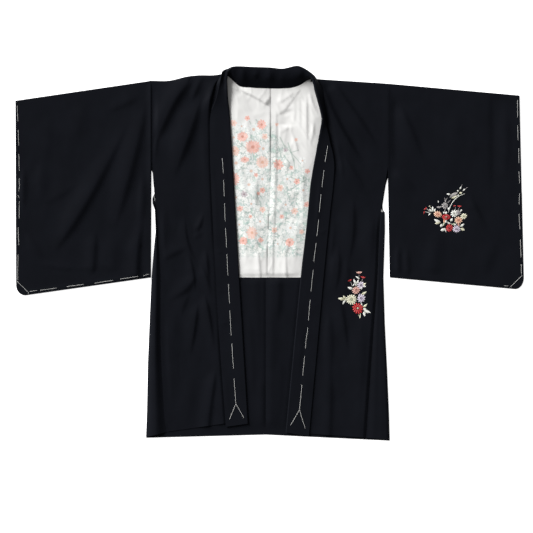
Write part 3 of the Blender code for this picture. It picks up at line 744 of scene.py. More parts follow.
def sleeve_places(shape, width, drop):
    """Shares u of the way out to the cuff and v of the way down, and the X and Y of each place."""
    u_cut = abs(shape.cut_x - shape.foot) / width
    slope = (shape.cut_y - shape.bottom_y) / (shape.cut_x - shape.foot)
    corner_y = shape.bottom_y + slope * (shape.cuff_low - shape.foot)
    v_cut = (shape.cuff_top_y - shape.cuff_low_y) / (shape.cuff_top_y - corner_y)
    u = np.array([
        0, 2 / width, 4 / width, *np.linspace(7 / width, u_cut, SLEEVE_COLUMNS),
        *np.linspace(u_cut, 1 - RIM / width, 6)[1:], 1 - RIM / width / 3, 1,
    ])[:, None]
    v = np.array([
        0, RIM / drop / 3, RIM / drop, *np.linspace(0, v_cut, SLEEVE_ROWS)[1:],
        *np.linspace(v_cut, 1 - RIM / drop, 6)[1:], 1 - RIM / drop / 3, 1,
    ])[None, :]
    x = part_way(part_way(shape.inner, shape.cuff_top, u), part_way(shape.foot, shape.cuff_low, u), v)
    y = part_way(part_way(shape.top_y, shape.cuff_top_y, u), part_way(shape.bottom_y, corner_y, u), v)
    v_free = (shape.top_y - ARMHOLE_END_Y) / drop
    x += (shape.foot - shape.inner) * (np.clip((v - v_free) / (1 - v_free), 0, 1) - v) * (1 - u)
    reach = np.clip((u - u_cut) / (1 - u_cut), 0, 1) * np.clip((v - v_cut) / (1 - v_cut), 0, 1)
    reach = CORNER_ROUND * reach**1.6
    x += (part_way(shape.foot, shape.cuff_low, u_cut) - shape.cuff_low) / 2 * reach
    y += ((shape.cut_y + shape.cuff_low_y) / 2 - corner_y) * reach
    return u, v, x, y


def sleeve_piece(half, shape, creases):
    """A flat tube: two layers joined along the top fold, the bottom seam and the lower cuff."""
    width, drop = abs(shape.cuff_low - shape.foot), shape.top_y - shape.bottom_y
    u, v, x, y = sleeve_places(shape, width, drop)
    from_cuff, from_seam = (1 - u) * width, abs(x - shape.inner)
    from_top, from_bottom = v * drop, (1 - v) * drop
    opened = (shape.cuff_top_y - y) < CUFF_OPENING
    opened[:-1] = False
    opened[:, 0] = opened[:, -1] = False
    rim = np.zeros_like(opened)
    rim[:, 0] = rim[:, -1] = rim[-1] = True
    rim &= ~opened

    from_fold = np.minimum(from_top, from_bottom)
    near = np.minimum(from_fold, np.where(opened[-1], 1e3, from_cuff))
    round_off = np.sqrt(1 - (1 - np.clip(near / RIM, 0, 1)) ** 2)
    ease = smooth((from_seam - SEAM_FLAT) / SEAM_EASE) * smooth(np.minimum(from_fold, from_cuff) / SEAM_EASE)
    pressed = PRESSED_RISE * mound(from_bottom - PRESSED_LINE, PRESSED_WIDTH) * smooth((1 - u) * 12)
    rolled = ROLL_RISE * mound(from_seam - (ROLL_CREST if half.side < 0 else 0.0), ROLL_WIDTH)
    rolled *= smooth((y - ROLL_FOOT_Y) / 70) * smooth(from_top / 20)
    upper_z = part_way(RIM_Z, FRONT_Z, round_off) + crepe_folds(creases, x, y) * ease
    upper_z += pressed + rolled * round_off
    if half.side < 0:
        upper_z[from_seam < 1.0] -= SEAM_NOTCH
    under_z = part_way(RIM_Z, BACK_Z, round_off)

    upper = np.arange(x.size).reshape(x.shape)
    under = np.where(rim, upper, x.size - 1 + np.cumsum(~rim).reshape(x.shape))
    corners = [np.dstack([x, y, upper_z]).reshape(-1, 3), np.dstack([x, y, under_z])[~rim]]
    faces = [net(upper.T)[:, :: -half.side], net(under.T)[:, :: half.side]]
    return shell(half.label + "_sleeve", np.concatenate(corners), np.concatenate(faces), crepe, CLOTH)


sleeves = {}
for half, shape, creases in (
    (RIGHT, RIGHT_SLEEVE, RIGHT_SLEEVE_CREASES), (LEFT, LEFT_SLEEVE, LEFT_SLEEVE_CREASES),
):
    sleeve = sleeve_piece(half, shape, creases)
    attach(sleeve, "root")
    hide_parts("sleeve_" + half.label)
    sleeves[half.label] = sleeve

# ---------------------------------------------------------------------------------------------
# Lining. The inside of the back is faced with light white silk in two halves, painted with
# chrysanthemums and plum blossom over pale leaves, with a plain band at its end. The leaves'
# darker thickets are partly painted shade. The seam allowance down its middle is pressed to the
# left and stands up as a strip.
# ---------------------------------------------------------------------------------------------

LINING_SEAM_TOP_X = 3.5     # the lining's centre seam slants from here
LINING_SEAM_END_X = -5.5    # to here
SHOULDER_INSET = 5.0        # the lining stops this far below the shoulder fold
LINING_SILK = 0.6
STRIP_WIDTH, STRIP_EDGE, STRIP_RISE = 17.0, 5.0, 1.2
STRIP_TOP_Y = 374.0
SEAM_SINK = 0.55            # the right half's share of its height lost at the seam
LOFT = 2.4                  # how far the silk stands off the crepe between its folds
SILK_WAVE, SILK_RUMPLE = (50.0, 1.3), (27.0, 0.55)     # size and height
UNDER_COLLAR, COLLAR_HOLD = 10.0, 36.0      # flat from this far under the collar, eased from there
LINING_ROWS = 170
LINING_ACROSS = np.concatenate([np.linspace(0, 0.5, 13)[:-1], np.linspace(0.5, 1, 61)])
RIGHT_LINING_CREASES = [
    (-84, 414, -38, 393, 0, 370, 20, 4, 4.0, 0.3, 0.15),
    (-104, 428, -90, 418, -76, 408, 3, 8, 1.8, 0.2, 0.2),
    (-80, 404, -62, 372, -40, 340, 12, 24, 1.4, 0.2, 0.5),
    (-96, 392, -92, 340, -90, 280, 5, 12, 1.0),
    (0, 226, -1, 150, -4, 80, 12, 34, -1.9, 0.3, 0.3),
    (-30, 196, -34, 150, -30, 100, 5, 16, 1.4),
    (-6, 74, -8, 40, -9, 4, 12, 26, -1.6, 0.3, 0.3),
    (-40, 70, -36, 30, -30, 0, 6, 18, 1.4),
    (-96, 126, -84, 96, -66, 78, 5, 10, 1.2),
    (-31, 16, -27, -24, -24, -58, 4, 12, 1.3, 0.4, 0.0),
    (-66, 70, -60, 20, -62, -40, 6, 16, 1.0),
    (-82, 230, -66, 190, -62, 140, 7, 18, 1.0),
    (-60, 340, -52, 300, -56, 262, 7, 14, 0.8),
    (-74, -6, -72, -30, -74, -58, 5, 10, 1.0, 0.4, 0.0),
]
LEFT_LINING_CREASES = [
    (0, 226, -1, 150, -4, 80, 12, 34, -1.9, 0.3, 0.3),
    (-6, 74, -8, 40, -9, 4, 12, 26, -1.6, 0.3, 0.3),
    (60, 402, 40, 388, 16, 374, 5, 12, 1.0, 0.15, 0.3),
    (76, 412, 54, 382, 33, 354, 4, 18, 1.1, 0.1, 0.2),
    (34, 358, 41, 336, 41, 314, 22, 20, -2.0, 0.2, 0.2),
    (44, 316, 38, 309, 24, 303, 5, 14, 0.8, 0.2, 0.3),
    (92, 400, 92, 330, 94, 246, 4, 16, 1.5, 0.3),
    (100, 406, 110, 370, 128, 338, 3, 7, 1.4, 0.2),
    (76, 400, 74, 350, 78, 290, 5, 12, 0.9),
    (58, 304, 66, 272, 74, 246, 3, 9, 1.0),
    (110, 336, 108, 300, 99, 266, 4, 7, 1.1),
    (72, 160, 68, 112, 52, 62, 18, 34, -2.2, 0.35, 0.3),
    (40, 250, 44, 222, 40, 190, 6, 18, 1.2),
    (88, 220, 84, 150, 86, 80, 6, 14, 1.0),
    (50, 38, 42, 10, 30, -8, 5, 12, 1.2),
    (40, 8, 40, -30, 42, -58, 4, 10, 1.3, 0.4, 0.0),
    (64, 70, 66, 20, 60, -40, 6, 16, 1.0),
    (84, 20, 82, -20, 84, -58, 5, 12, 0.9, 0.4, 0.0),
    (60, 386, 62, 350, 58, 320, 5, 9, 0.8),
]


def rumpled(x, y, size, height):
    """Fine sharp creases that wander and cross, as in crumpled silk."""
    return height * (1 - np.minimum(1, abs(wandering(x, y, size, 0.7, 3.0)) * 3.2)) ** 1.5


def lining_grid(half, creases):
    """The white inside of the back, from the turned-up hem to the neck and shoulder."""
    share = np.linspace(0, 1, LINING_ROWS)[:, None]
    middle_x = part_way(LINING_SEAM_END_X, LINING_SEAM_TOP_X, smooth(share * 1.5))
    neck = [s for place, s in sections_between(half.sections[: SHOULDER + 1], 2.0)]
    level = part_way(LINING_END_Y, neck[0].seam_y, share)
    x = part_way(read_across(half.edge, level) - half.side * INSET, middle_x, LINING_ACROSS)
    outline = [(half.side * s.seam_x, s.seam_y) for s in neck]
    outline.append((abs(neck[-1].side_x), neck[-1].side_y - SHOULDER_INSET))
    y = part_way(LINING_END_Y, read_across(outline, abs(x)), share)
    collar_folds = [(s.fold_y, half.side * s.fold_x) for s in half.sections[SHOULDER:]]
    bare = smooth((read_across(collar_folds, y) - half.side * x + UNDER_COLLAR) / COLLAR_HOLD)
    begun = smooth((y - LINING_END_Y) / END_EASE)
    waves = (LOFT + uneven(x, y, *SILK_WAVE) + rumpled(x, y, *SILK_RUMPLE)) * begun
    height = np.maximum(creased(creases, x, y) + waves, -0.2) * bare
    from_seam = abs(x - x[:, -1:])
    if half.side < 0:
        height *= 1 - SEAM_SINK * (1 - smooth(from_seam / SEAM_GROOVE))
    else:
        strip = STRIP_RISE * smooth((STRIP_WIDTH - from_seam) / STRIP_EDGE)
        height += strip * smooth((STRIP_TOP_Y - y) / 60) * begun
    return np.dstack([x, y, INSIDE_Z + height])


def mark_group(name, numbers, results):
    """A kind of painted mark as a group of steps, with the numbers that place and shape it."""
    tree = bpy.data.node_groups.new(name, "ShaderNodeTree")
    tree.interface.new_socket("Place", in_out="INPUT", socket_type="NodeSocketVector")
    for label in numbers.split():
        tree.interface.new_socket(label, in_out="INPUT", socket_type="NodeSocketFloat")
    for label in results.split():
        tree.interface.new_socket(label, in_out="OUTPUT", socket_type="NodeSocketFloat")
    given = [Value(socket) for socket in tree.nodes.new("NodeGroupInput").outputs if socket.name]
    return tree, given, tree.nodes.new("NodeGroupOutput").inputs


def lobes(angle, petals):
    """How far out the edge of a flower with this many petals goes at each angle, from 0 to 1."""
    return (angle * petals * 0.5).by("COSINE").by("ABSOLUTE").by("POWER", 0.6)


def bloom_group():
    """One painted flower: where its petals, their dividing lines and its middle are."""
    tree, given, result = mark_group("painted_bloom", "X Y Size Petals Turn Squash", "Petal Line Middle")
    place, middle_x, middle_y, size, petals, turn, squash = given
    x, y = place.parts()
    x, y = x - middle_x, (y - middle_y) * squash
    reach = (x * x + y * y).by("SQRT") / size
    lobe = lobes(y.by("ARCTAN2", x) + turn, petals)
    edge = lobe * 0.34 + 0.66 + (speckle(place, 5.0) * 0.7 - 0.35)
    petal = ((edge - reach) * 9.0).held()
    line = (lobe * -2.0 + 1.25).held() * petal
    feed(result, {"Petal": petal, "Line": line, "Middle": (reach * -9.0 + 2.6).held()})
    return tree


def scattered_group():
    """Small leaves or blossoms strewn at every angle: one in each cell of a random net."""
    tree, given, result = mark_group("painted_scatter", "Cells Slim Petals Wanted Seed", "Shape Line")
    place, cells_per_metre, slim, petals, wanted, seed = given
    scaled = step(tree, "VectorMath", {0: place, "Scale": cells_per_metre}, operation="SCALE")[0]
    moved = step(tree, "VectorMath", {0: scaled, 1: seed})[0]
    cells = step(tree, "TexVoronoi", {"Vector": moved, "Scale": 1.0}, voronoi_dimensions="2D")
    colour, middle = cells[1:3]
    x, y = step(tree, "VectorMath", {0: moved, 1: middle}, operation="SUBTRACT")[0].parts()
    chance, lot = colour.parts()
    turn = chance * math.tau
    cos, sin = turn.by("COSINE"), turn.by("SINE")
    u, v = x * cos + y * sin, (y * cos - x * sin) / slim
    inside = lobes(v.by("ARCTAN2", u), petals) * 0.16 + 0.26 - (u * u + v * v).by("SQRT")
    shown = lot.by("LESS_THAN", wanted)
    outline = ((inside - 0.03).by("ABSOLUTE") * -16.0 + 1.0).held()
    feed(result, {"Shape": (inside * 12.0).held() * shown, "Line": outline * shown})
    return tree


def marks(group, place, *numbers):
    """What a group works out for one painted mark."""
    return step(place.tree, "Group", dict(enumerate((place, *numbers))), node_tree=group)


def tinted(amount, under, over):
    """Colour over laid on colour under where amount is 1."""
    return step(amount.tree, "Mix", {0: amount, 6: under, 7: over}, data_type="RGBA")[2]


def near_line(x, y, stem):
    """1 on a straight painted line, 0 beside it."""
    start, end = Vector((stem.x0, stem.y0)) * MM, Vector((stem.x1, stem.y1)) * MM
    along, length = (end - start).normalized(), (end - start).length
    x, y = x - start.x, y - start.y
    run = (x * along.x + y * along.y).by("MAXIMUM", 0.0).by("MINIMUM", length)
    off_x, off_y = x - run * along.x, y - run * along.y
    away = (off_x * off_x + off_y * off_y).by("SQRT")
    return (away * (-1 / (stem.width * MM)) + 1.4).held()


SILK_WHITE = (0.66, 0.655, 0.64)
# Greens of the painted leaves. Where the thickets lay them on thickest, they also stand in for painted
# shade, the grey shadows of the silk's puckers.
LEAF_WASH = (0.42, 0.51, 0.47)
LEAF_SHADE = (0.17, 0.27, 0.22)
# The painting fades out above this height, lower by EDGE_DROP for each mm out on the left half.
PAINTED_TOP_Y, EDGE_DROP, EDGE_WAVER = 335.0, 1.35, 70.0
PAINTED_END_Y = -12.0
# What is strewn over the painting: the size of its cells, how slim and lobed each mark is, the
# share of cells that have one, the paint of its body and its outline, and how strong they are.
Strewn = namedtuple("Strewn", "size slim petals wanted body outline strength")
STREWN = [
    Strewn(31, 0.30, 0, 0.8, (0.42, 0.56, 0.49), (0.16, 0.25, 0.21), 0.7),
    Strewn(19, 0.26, 0, 0.85, (0.36, 0.48, 0.45), (0.16, 0.24, 0.23), 0.75),
    Strewn(24, 1.0, 5, 0.75, (0.74, 0.74, 0.71), (0.16, 0.24, 0.22), 0.95),
    Strewn(12, 0.26, 0, 0.85, (0.28, 0.40, 0.37), (0.16, 0.24, 0.22), 0.7),
    Strewn(15, 1.0, 5, 0.65, (0.74, 0.74, 0.71), (0.20, 0.28, 0.26), 0.95),
    Strewn(8, 0.9, 4, 0.5, (0.74, 0.74, 0.72), (0.24, 0.32, 0.30), 0.9),
]
# Painted stems: from where to where, and how thick.
PaintedStem = namedtuple("PaintedStem", "x0 y0 x1 y1 width")
PAINTED_STEMS = [
    (26, 290, 40, 262, 1.8), (38, 270, 78, 224, 1.2), (46, 276, 60, 232, 1.8),
    (22, 268, 30, 240, 1.6), (52, 252, 72, 258, 1.2), (60, 236, 64, 206, 1.6),
    (36, 244, 50, 226, 1.2), (48, 192, 88, 178, 1.6), (54, 160, 90, 184, 1.2),
    (-34, 334, -14, 308, 1.8), (-50, 330, -34, 300, 1.4), (-32, 148, -20, 116, 1.2),
    (-64, 20, -30, 8, 1.2), (-76, 276, -52, 258, 1.6), (-78, 206, -64, 222, 1.6),
]
# Painted flowers: where, their reach, how many petals, how far turned and flattened, and the paint.
Bloom = namedtuple("Bloom", "x y size petals turn squash paint", defaults=(1.0, "coral"))
PAINTS = {              # of a flower's petals, their dividing lines and its middle
    "coral": ((0.71, 0.31, 0.245), (0.76, 0.64, 0.59), (0.42, 0.17, 0.12)),
    "peach": ((0.73, 0.44, 0.36), (0.76, 0.67, 0.62), (0.54, 0.29, 0.19)),
    "white": ((0.74, 0.74, 0.73), (0.26, 0.35, 0.33), (0.60, 0.36, 0.26)),
    "mauve": ((0.40, 0.33, 0.36), (0.60, 0.56, 0.57), (0.16, 0.07, 0.09)),
}
BLOOMS = [
    (-40, 310, 17, 14, 0.3, 1.0, "white"), (-70, 318, 10, 5, 0.2, 1.0, "white"),
    (-90, 290, 13, 12, 0.0, 1.1, "white"), (-16, 262, 15, 12, 0.9, 1.0, "white"),
    (-84, 226, 19, 12, 0.5, 1.1, "white"), (-46, 206, 16, 10, 0.2, 1.0, "white"),
    (-52, 172, 17, 12, 0.0, 1.2, "white"), (-18, 186, 13, 8, 0.4, 1.0, "white"),
    (-84, 140, 13, 5, 0.1, 1.0, "white"), (-46, 124, 12, 5, 0.6, 1.0, "white"),
    (-24, 80, 12, 5, 0.9, 1.0, "white"), (44, 186, 12, 5, 0.0, 1.0, "white"),
    (84, 158, 13, 10, 0.0, 1.0, "white"), (40, 122, 12, 5, 0.3, 1.0, "white"),
    (52, 64, 14, 12, 0.2, 1.0, "white"), (-76, 72, 10, 5, 0.3, 1.0, "white"),
    (20, 24, 9, 5, 0.3, 1.0, "white"), (82, 232, 10, 5, 0.3, 1.0, "white"), (-56, 338, 7, 5, 0.3),
    (-90, 326, 9, 6, 0.0, 1.0, "peach"), (-20, 322, 12, 10, 0.2, 0.9), (-68, 292, 15, 14, 0.1, 1.1),
    (-42, 266, 20, 18, 0.0, 1.1), (-88, 256, 14, 12, 0.4, 1.0, "peach"),
    (-12, 292, 8, 5, 0.3, 1.0, "peach"), (-18, 228, 17, 16, 0.2, 1.0, "peach"),
    (-62, 234, 11, 10, 0.3, 1.3), (-92, 186, 19, 16, 0.2), (-34, 196, 6, 5, 0.1),
    (18, 322, 5, 5, 0.4, 1.0, "peach"), (66, 284, 5, 5, 0.4, 1.0, "peach"),
    (40, 258, 6, 5, 0.0, 1.0, "mauve"), (22, 222, 13, 8, 0.3, 0.9), (54, 214, 6, 5, 0.6),
    (94, 206, 7, 5, 0.2), (68, 180, 8, 5, 0.5), (26, 164, 9, 6, 0.2, 1.0, "peach"),
    (-64, 148, 9, 6, 0.2, 1.0, "mauve"), (-18, 158, 8, 5, 0.1), (-28, 150, 5, 5, 0.6),
    (-74, 112, 9, 6, 0.4, 1.2), (-18, 110, 8, 5, 0.2, 1.0, "peach"), (-48, 92, 5, 5, 0.3),
    (92, 122, 8, 5, 0.1), (62, 106, 9, 6, 0.2, 1.0, "peach"), (30, 92, 6, 5, 0.4),
    (-44, 52, 15, 12, 0.1, 0.9, "peach"), (-66, 32, 12, 10, 0.5, 1.1), (-22, 34, 7, 6, 0.2),
    (12, 58, 8, 5, 0.3, 1.0, "peach"), (50, 28, 12, 10, 0.5), (80, 54, 7, 5, 0.2, 1.0, "peach"),
]


def painted_silk(name):
    """White silk under a wash of leaves, darker in thickets that are partly painted shade, with strewn
    marks, stems and flowers painted over it.
    """
    material, shader, place = fabric(name)
    x, y = place.parts()
    top = x.by("MAXIMUM", 0.0) * -EDGE_DROP + PAINTED_TOP_Y * MM
    waver = (speckle(place, 30.0) - 0.5) * (EDGE_WAVER * MM)
    painted = ((top + waver - y) * 26.0).held() * ((y - PAINTED_END_Y * MM) * 90.0).held()
    # Thickets of green with paler clearings, broken up by the brush. The darker thickets are partly painted
    # shade: they stand in for the grey shadows of the silk's puckers, at places the noise picks.
    thicket_and_painted_shade = (speckle(place, 38.0, 3.0) * 4.0 - 1.5).held()
    brush = (speckle(place, 3.2, 3.0) * 2.6 - 0.8).held()
    grass = (speckle(place, 2.6, 2.0, (1.0, 0.2, 1.0)) * 7.0 - 3.9).held()
    ground = painted * (thicket_and_painted_shade * 0.45 + 0.55)

    colour = tinted(ground * (brush * 0.5 + 0.1), SILK_WHITE, LEAF_WASH)
    colour = tinted(grass * thicket_and_painted_shade * ground, colour, LEAF_SHADE)
    group = scattered_group()
    drawn = brush * 0.6 + 0.3
    for number, kind in enumerate(STREWN):
        numbers = (1 / (kind.size * MM), kind.slim, kind.petals, kind.wanted, 3.7 * number)
        body, outline = marks(group, place, *numbers)
        there = ground * kind.strength
        colour = tinted(body * there, colour, kind.body)
        colour = tinted(outline * there * drawn, colour, kind.outline)
    for row in PAINTED_STEMS:
        colour = tinted(near_line(x, y, PaintedStem(*row)) * 0.45, colour, LEAF_SHADE)
    group = bloom_group()
    worn = brush * 0.45 + 0.5
    for row in BLOOMS:
        bloom = Bloom(*row)
        sizes = (bloom.x * MM, bloom.y * MM, bloom.size * MM, bloom.petals, bloom.turn, bloom.squash)
        petal, line, middle = marks(group, place, *sizes)
        for amount, paint in zip((petal * worn, line * 0.7, middle * 0.7), PAINTS[bloom.paint]):
            colour = tinted(amount, colour, paint)
    feed(shader, {
        "Base Color": colour,
        "Roughness": 0.55,
        "Specular IOR Level": 0.3,
        "Sheen Weight": 0.1,
        "Normal": bumped(speckle(place, 0.5), 0.05, 0.5),
    })
    return material


silk = painted_silk("painted_white_silk")
for half, creases in ((RIGHT, RIGHT_LINING_CREASES), (LEFT, LEFT_LINING_CREASES)):
    lining = cloth_piece(half.label + "_lining", half, lining_grid(half, creases), silk, LINING_SILK)
    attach(lining, "root")
    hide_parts("lining_" + half.label)
    half.label + "_body"

# ---------------------------------------------------------------------------------------------
# Basting. Long loose stitches of white cotton hold the collar and the cuffs flat until the
# jacket is first worn. Each stitch lies on the cloth and dips into it at both ends.
# ---------------------------------------------------------------------------------------------

THREAD = 0.84
THREAD_SIDES = 8
THREAD_STEP = 3.5       # longest face along it
THREAD_LIE = 0.36       # its middle lies this share of its thickness above the cloth
STITCH_END = 3.0        # a stitch dips into the cloth within this distance
# From where to where each stitch runs, and how far it sways aside.
Stitch = namedtuple("Stitch", "x0 y0 x1 y1 sway", defaults=(0.4,))
COLLAR_BASTING = {
    "right": [
        (-118.0, 239, -115.4, 199, 2.2), (-115.0, 184, -113.2, 141),
        (-112.6, 126, -111.0, 79), (-110.4, 64, -107.4, 14, 0.8),
        (-107.0, -1, -104.0, -56), (-102.8, -76, -100.4, -126),
        (-99.4, -141, -96.0, -206), (-94.6, -224, -90.2, -289),
        (-88.8, -311, -84.4, -376), (-84.4, -375, -100.6, -415),
        (-84.4, -375, -63.6, -412),
    ],
    "left": [
        (145.2, 270, 138.0, 227), (135.8, 209, 130.6, 164),
        (128.4, 149, 124.0, 102), (122.6, 85, 117.6, 42),
        (116.0, 27, 110.2, -22), (109.0, -40, 102.8, -96),
        (101.2, -115, 96.8, -169), (95.4, -184, 88.6, -239),
        (87.6, -256, 82.4, -306), (80.8, -327, 74.4, -391),
        (74.4, -390, 51.8, -430), (74.4, -390, 89.0, -438),
    ],
}
CUFF_BASTING = {
    "right": [
        (-630.8, 370, -628.6, 329), (-628.4, 309, -626.6, 268),
        (-626.6, 249, -625.4, 205), (-625.6, 189, -625.8, 154, 2.0),
        (-629.2, 146, -625.2, 138), (-625.4, 132, -626.0, 86),
        (-628.2, 66, -626.6, 19), (-628.6, -2, -629.4, -68),
        (-631.2, -69, -603.0, -97), (-602.6, -96, -602.4, -102.5),
        (-600.0, -95, -580.0, -92),
        (-574.0, -92, -530.0, -86), (-508.0, -83, -463.0, -77),
        (-438.0, -74, -390.0, -67), (-374.0, -64, -327.0, -57),
        (-316.0, -56, -300.0, -51),
    ],
    "left": [
        (619.2, 384, 619.6, 339), (619.6, 321, 620.8, 281),
        (622.0, 264, 623.0, 224), (622.6, 206, 624.6, 174),
        (624.0, 151, 623.4, 121), (622.8, 100, 625.4, 59),
        (626.4, 36, 628.2, -11), (628.4, -26, 629.2, -54),
        (631.0, -55, 600.8, -84), (600.4, -84, 600.4, -87),
        (597.0, -81, 586.0, -80.5),
    ],
}


def resting(thing):
    """Gives a function for the height of a piece's upper face at a place."""
    tree = BVHTree.FromObject(thing, bpy.context.evaluated_depsgraph_get())

    def height(x, y):
        return tree.ray_cast(Vector((x * MM, y * MM, 0.1)), Vector((0, 0, -1)))[0].z / MM

    return height


def cotton(name):
    """Soft unbleached sewing cotton."""
    material, shader, place = fabric(name)
    lint = speckle(place, 0.5, 3.0)
    feed(shader, {
        "Base Color": ramp(lint, (0.3, (0.38, 0.38, 0.365)), (0.7, (0.50, 0.50, 0.485))),
        "Roughness": 0.85,
        "Sheen Weight": 0.2,
        "Normal": bumped(lint, 0.15, 0.6),
    })
    return material


def basting(name, cloth, stitches, material):
    """One row of stitches as round threads, joined into a mesh."""
    height = resting(cloth)
    corners, faces = [], []
    for number, row in enumerate(stitches):
        stitch = Stitch(*row)
        start = Vector((stitch.x0, stitch.y0))
        run = Vector((stitch.x1, stitch.y1)) - start
        aside = run.orthogonal().normalized()
        first, steps = len(corners), max(5, round(run.length / THREAD_STEP))
        for k in range(steps + 1):
            share = k / steps
            sway = stitch.sway * noise.noise(Vector((share * 2.5, number * 7.3, 1.0)))
            x, y = start + run * share + aside * sway
            from_end = min(share, 1 - share) * run.length
            lift = THREAD * (THREAD_LIE - float(smooth(1 - from_end / STITCH_END)))
            spot = Vector((x, y, height(x, y) + lift))
            for angle in np.linspace(0, math.tau, THREAD_SIDES + 1)[:-1]:
                around = aside.to_3d() * math.cos(angle) + Vector((0, 0, math.sin(angle)))
                corners.append(tuple(spot + around * THREAD / 2))
        for k in range(steps):
            for n in range(THREAD_SIDES):
                a, b = (first + k * THREAD_SIDES + m % THREAD_SIDES for m in (n, n + 1))
                faces.append((a, b, b + THREAD_SIDES, a + THREAD_SIDES))
        faces.append(tuple(range(first + THREAD_SIDES - 1, first - 1, -1)))
        faces.append(tuple(range(len(corners) - THREAD_SIDES, len(corners))))
    thing = surface(name, corners, faces, [material])
    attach(thing, "root")


white_cotton = cotton("white_cotton")
for label in ("right", "left"):
    basting(label + "_collar_basting", collars[label], COLLAR_BASTING[label], white_cotton)
    basting(label + "_cuff_basting", sleeves[label], CUFF_BASTING[label], white_cotton)

# ---------------------------------------------------------------------------------------------
# Embroidery. Sprays of chrysanthemums, buds and leaves lie on the left front and the left sleeve.
# Each petal and leaf is a pad of long silk stitches laid side by side, raised a little.
# ---------------------------------------------------------------------------------------------

PAD_RISE = 0.8
PAD_SINK = 0.12         # a pad's rim lies this deep in the crepe
PAD_ACROSS = (-1.0, -0.6, 0.0, 0.6, 1.0)
STITCH_WIDTH = 0.4
GRAIN_UNIT = 10.0       # mm for each unit of the map that the stitches are drawn on
PETAL_FILL = 0.6192     # share of a flower's ring that its petals fill
PADS = {                # how wide a pad is along its length, from its root to its tip
    "petal": lambda t: math.sin(math.pi * t**1.9) ** 0.8,
    "leaf": lambda t: math.sin(math.pi * t**0.85) ** 0.9,
    "stem": lambda t: min(1.0, 12 * t + 0.3, 12 * (1 - t) + 0.3),
}
Silk = namedtuple("Silk", "root tip")
SILKS = {
    "red": Silk((0.17, 0.006, 0.010), (0.52, 0.026, 0.026)),
    "rose": Silk((0.30, 0.11, 0.095), (0.70, 0.42, 0.35)),
    "peach": Silk((0.52, 0.17, 0.09), (0.72, 0.50, 0.36)),
    "white": Silk((0.50, 0.51, 0.45), (0.78, 0.78, 0.74)),
    "cream": Silk((0.36, 0.35, 0.22), (0.76, 0.74, 0.58)),
    "lilac": Silk((0.20, 0.16, 0.24), (0.66, 0.60, 0.68)),
    "grey": Silk((0.16, 0.15, 0.15), (0.40, 0.38, 0.37)),
    "green": Silk((0.24, 0.27, 0.18), (0.46, 0.49, 0.36)),
}
Flower = namedtuple("Flower", "x y reach petals turn silk heart squash", defaults=(1.0,))
Leaf = namedtuple("Leaf", "x0 y0 x1 y1 width silk bend", defaults=(0.0,))
Bud = namedtuple("Bud", "x y towards width silk")
Stem = namedtuple("Stem", "x0 y0 x1 y1 bend width silk")

FRONT_SPRAY = [
    Stem(224, -53, 223, -72, -1.5, 1.6, "grey"), Stem(232, -63, 229, -72, 0.5, 1.6, "grey"),
    Stem(201, -70, 206, -81, 0.8, 1.6, "grey"), Stem(226, -149, 225, -162, 1.0, 2.2, "cream"),
    Stem(221, -153, 225, -158, 0.5, 1.4, "cream"),
    Bud(224, -52, 92, 16, "rose"), Bud(232, -63, 74, 13, "red"), Bud(202, -70, 118, 11, "red"),
    Leaf(225, -64, 215, -57, 4.6, "white"), Leaf(217, -76, 210, -64, 6, "white", 1.0),
    Leaf(218, -76, 222, -66, 5, "white"), Leaf(213, -77, 218, -80, 4.5, "white"),
    Leaf(206, -82, 212, -74, 3.2, "white", -1.2), Leaf(208, -88, 195, -84, 7, "white", 1.0),
    Leaf(231, -80, 241, -74, 6, "cream"), Leaf(231, -80, 241, -83, 6, "white"),
    Leaf(228, -82, 230, -90, 6, "white"),
    Leaf(229, -102, 242, -95, 6, "cream", -1.0), Leaf(226, -100, 222, -108, 4, "lilac"),
    Leaf(188, -115, 171, -112, 8, "cream"), Leaf(191, -113, 184, -105, 5.5, "cream", 0.8),
    Leaf(190, -116, 183, -127, 5.5, "white", -0.8), Leaf(193, -114, 187, -115, 5, "cream"),
    Leaf(233, -134, 243, -126, 6, "cream", -1.0), Leaf(232, -130, 228, -124, 3.6, "white"),
    Leaf(234, -137, 242, -142, 7, "white"), Leaf(236, -144, 252, -148, 7.5, "white", 0.8),
    Leaf(235, -145, 238, -157, 7, "white"),
    Flower(228, -79, 9.5, 9, 0.2, "lilac", "grey"), Flower(216, -92, 10, 10, 0.0, "rose", "rose"),
    Flower(229, -112, 10.5, 10, 0.3, "lilac", "lilac"), Flower(204, -115, 13.5, 14, 0.1, "cream", "green"),
    Flower(220, -137, 14, 12, 0.25, "red", "cream"),
]
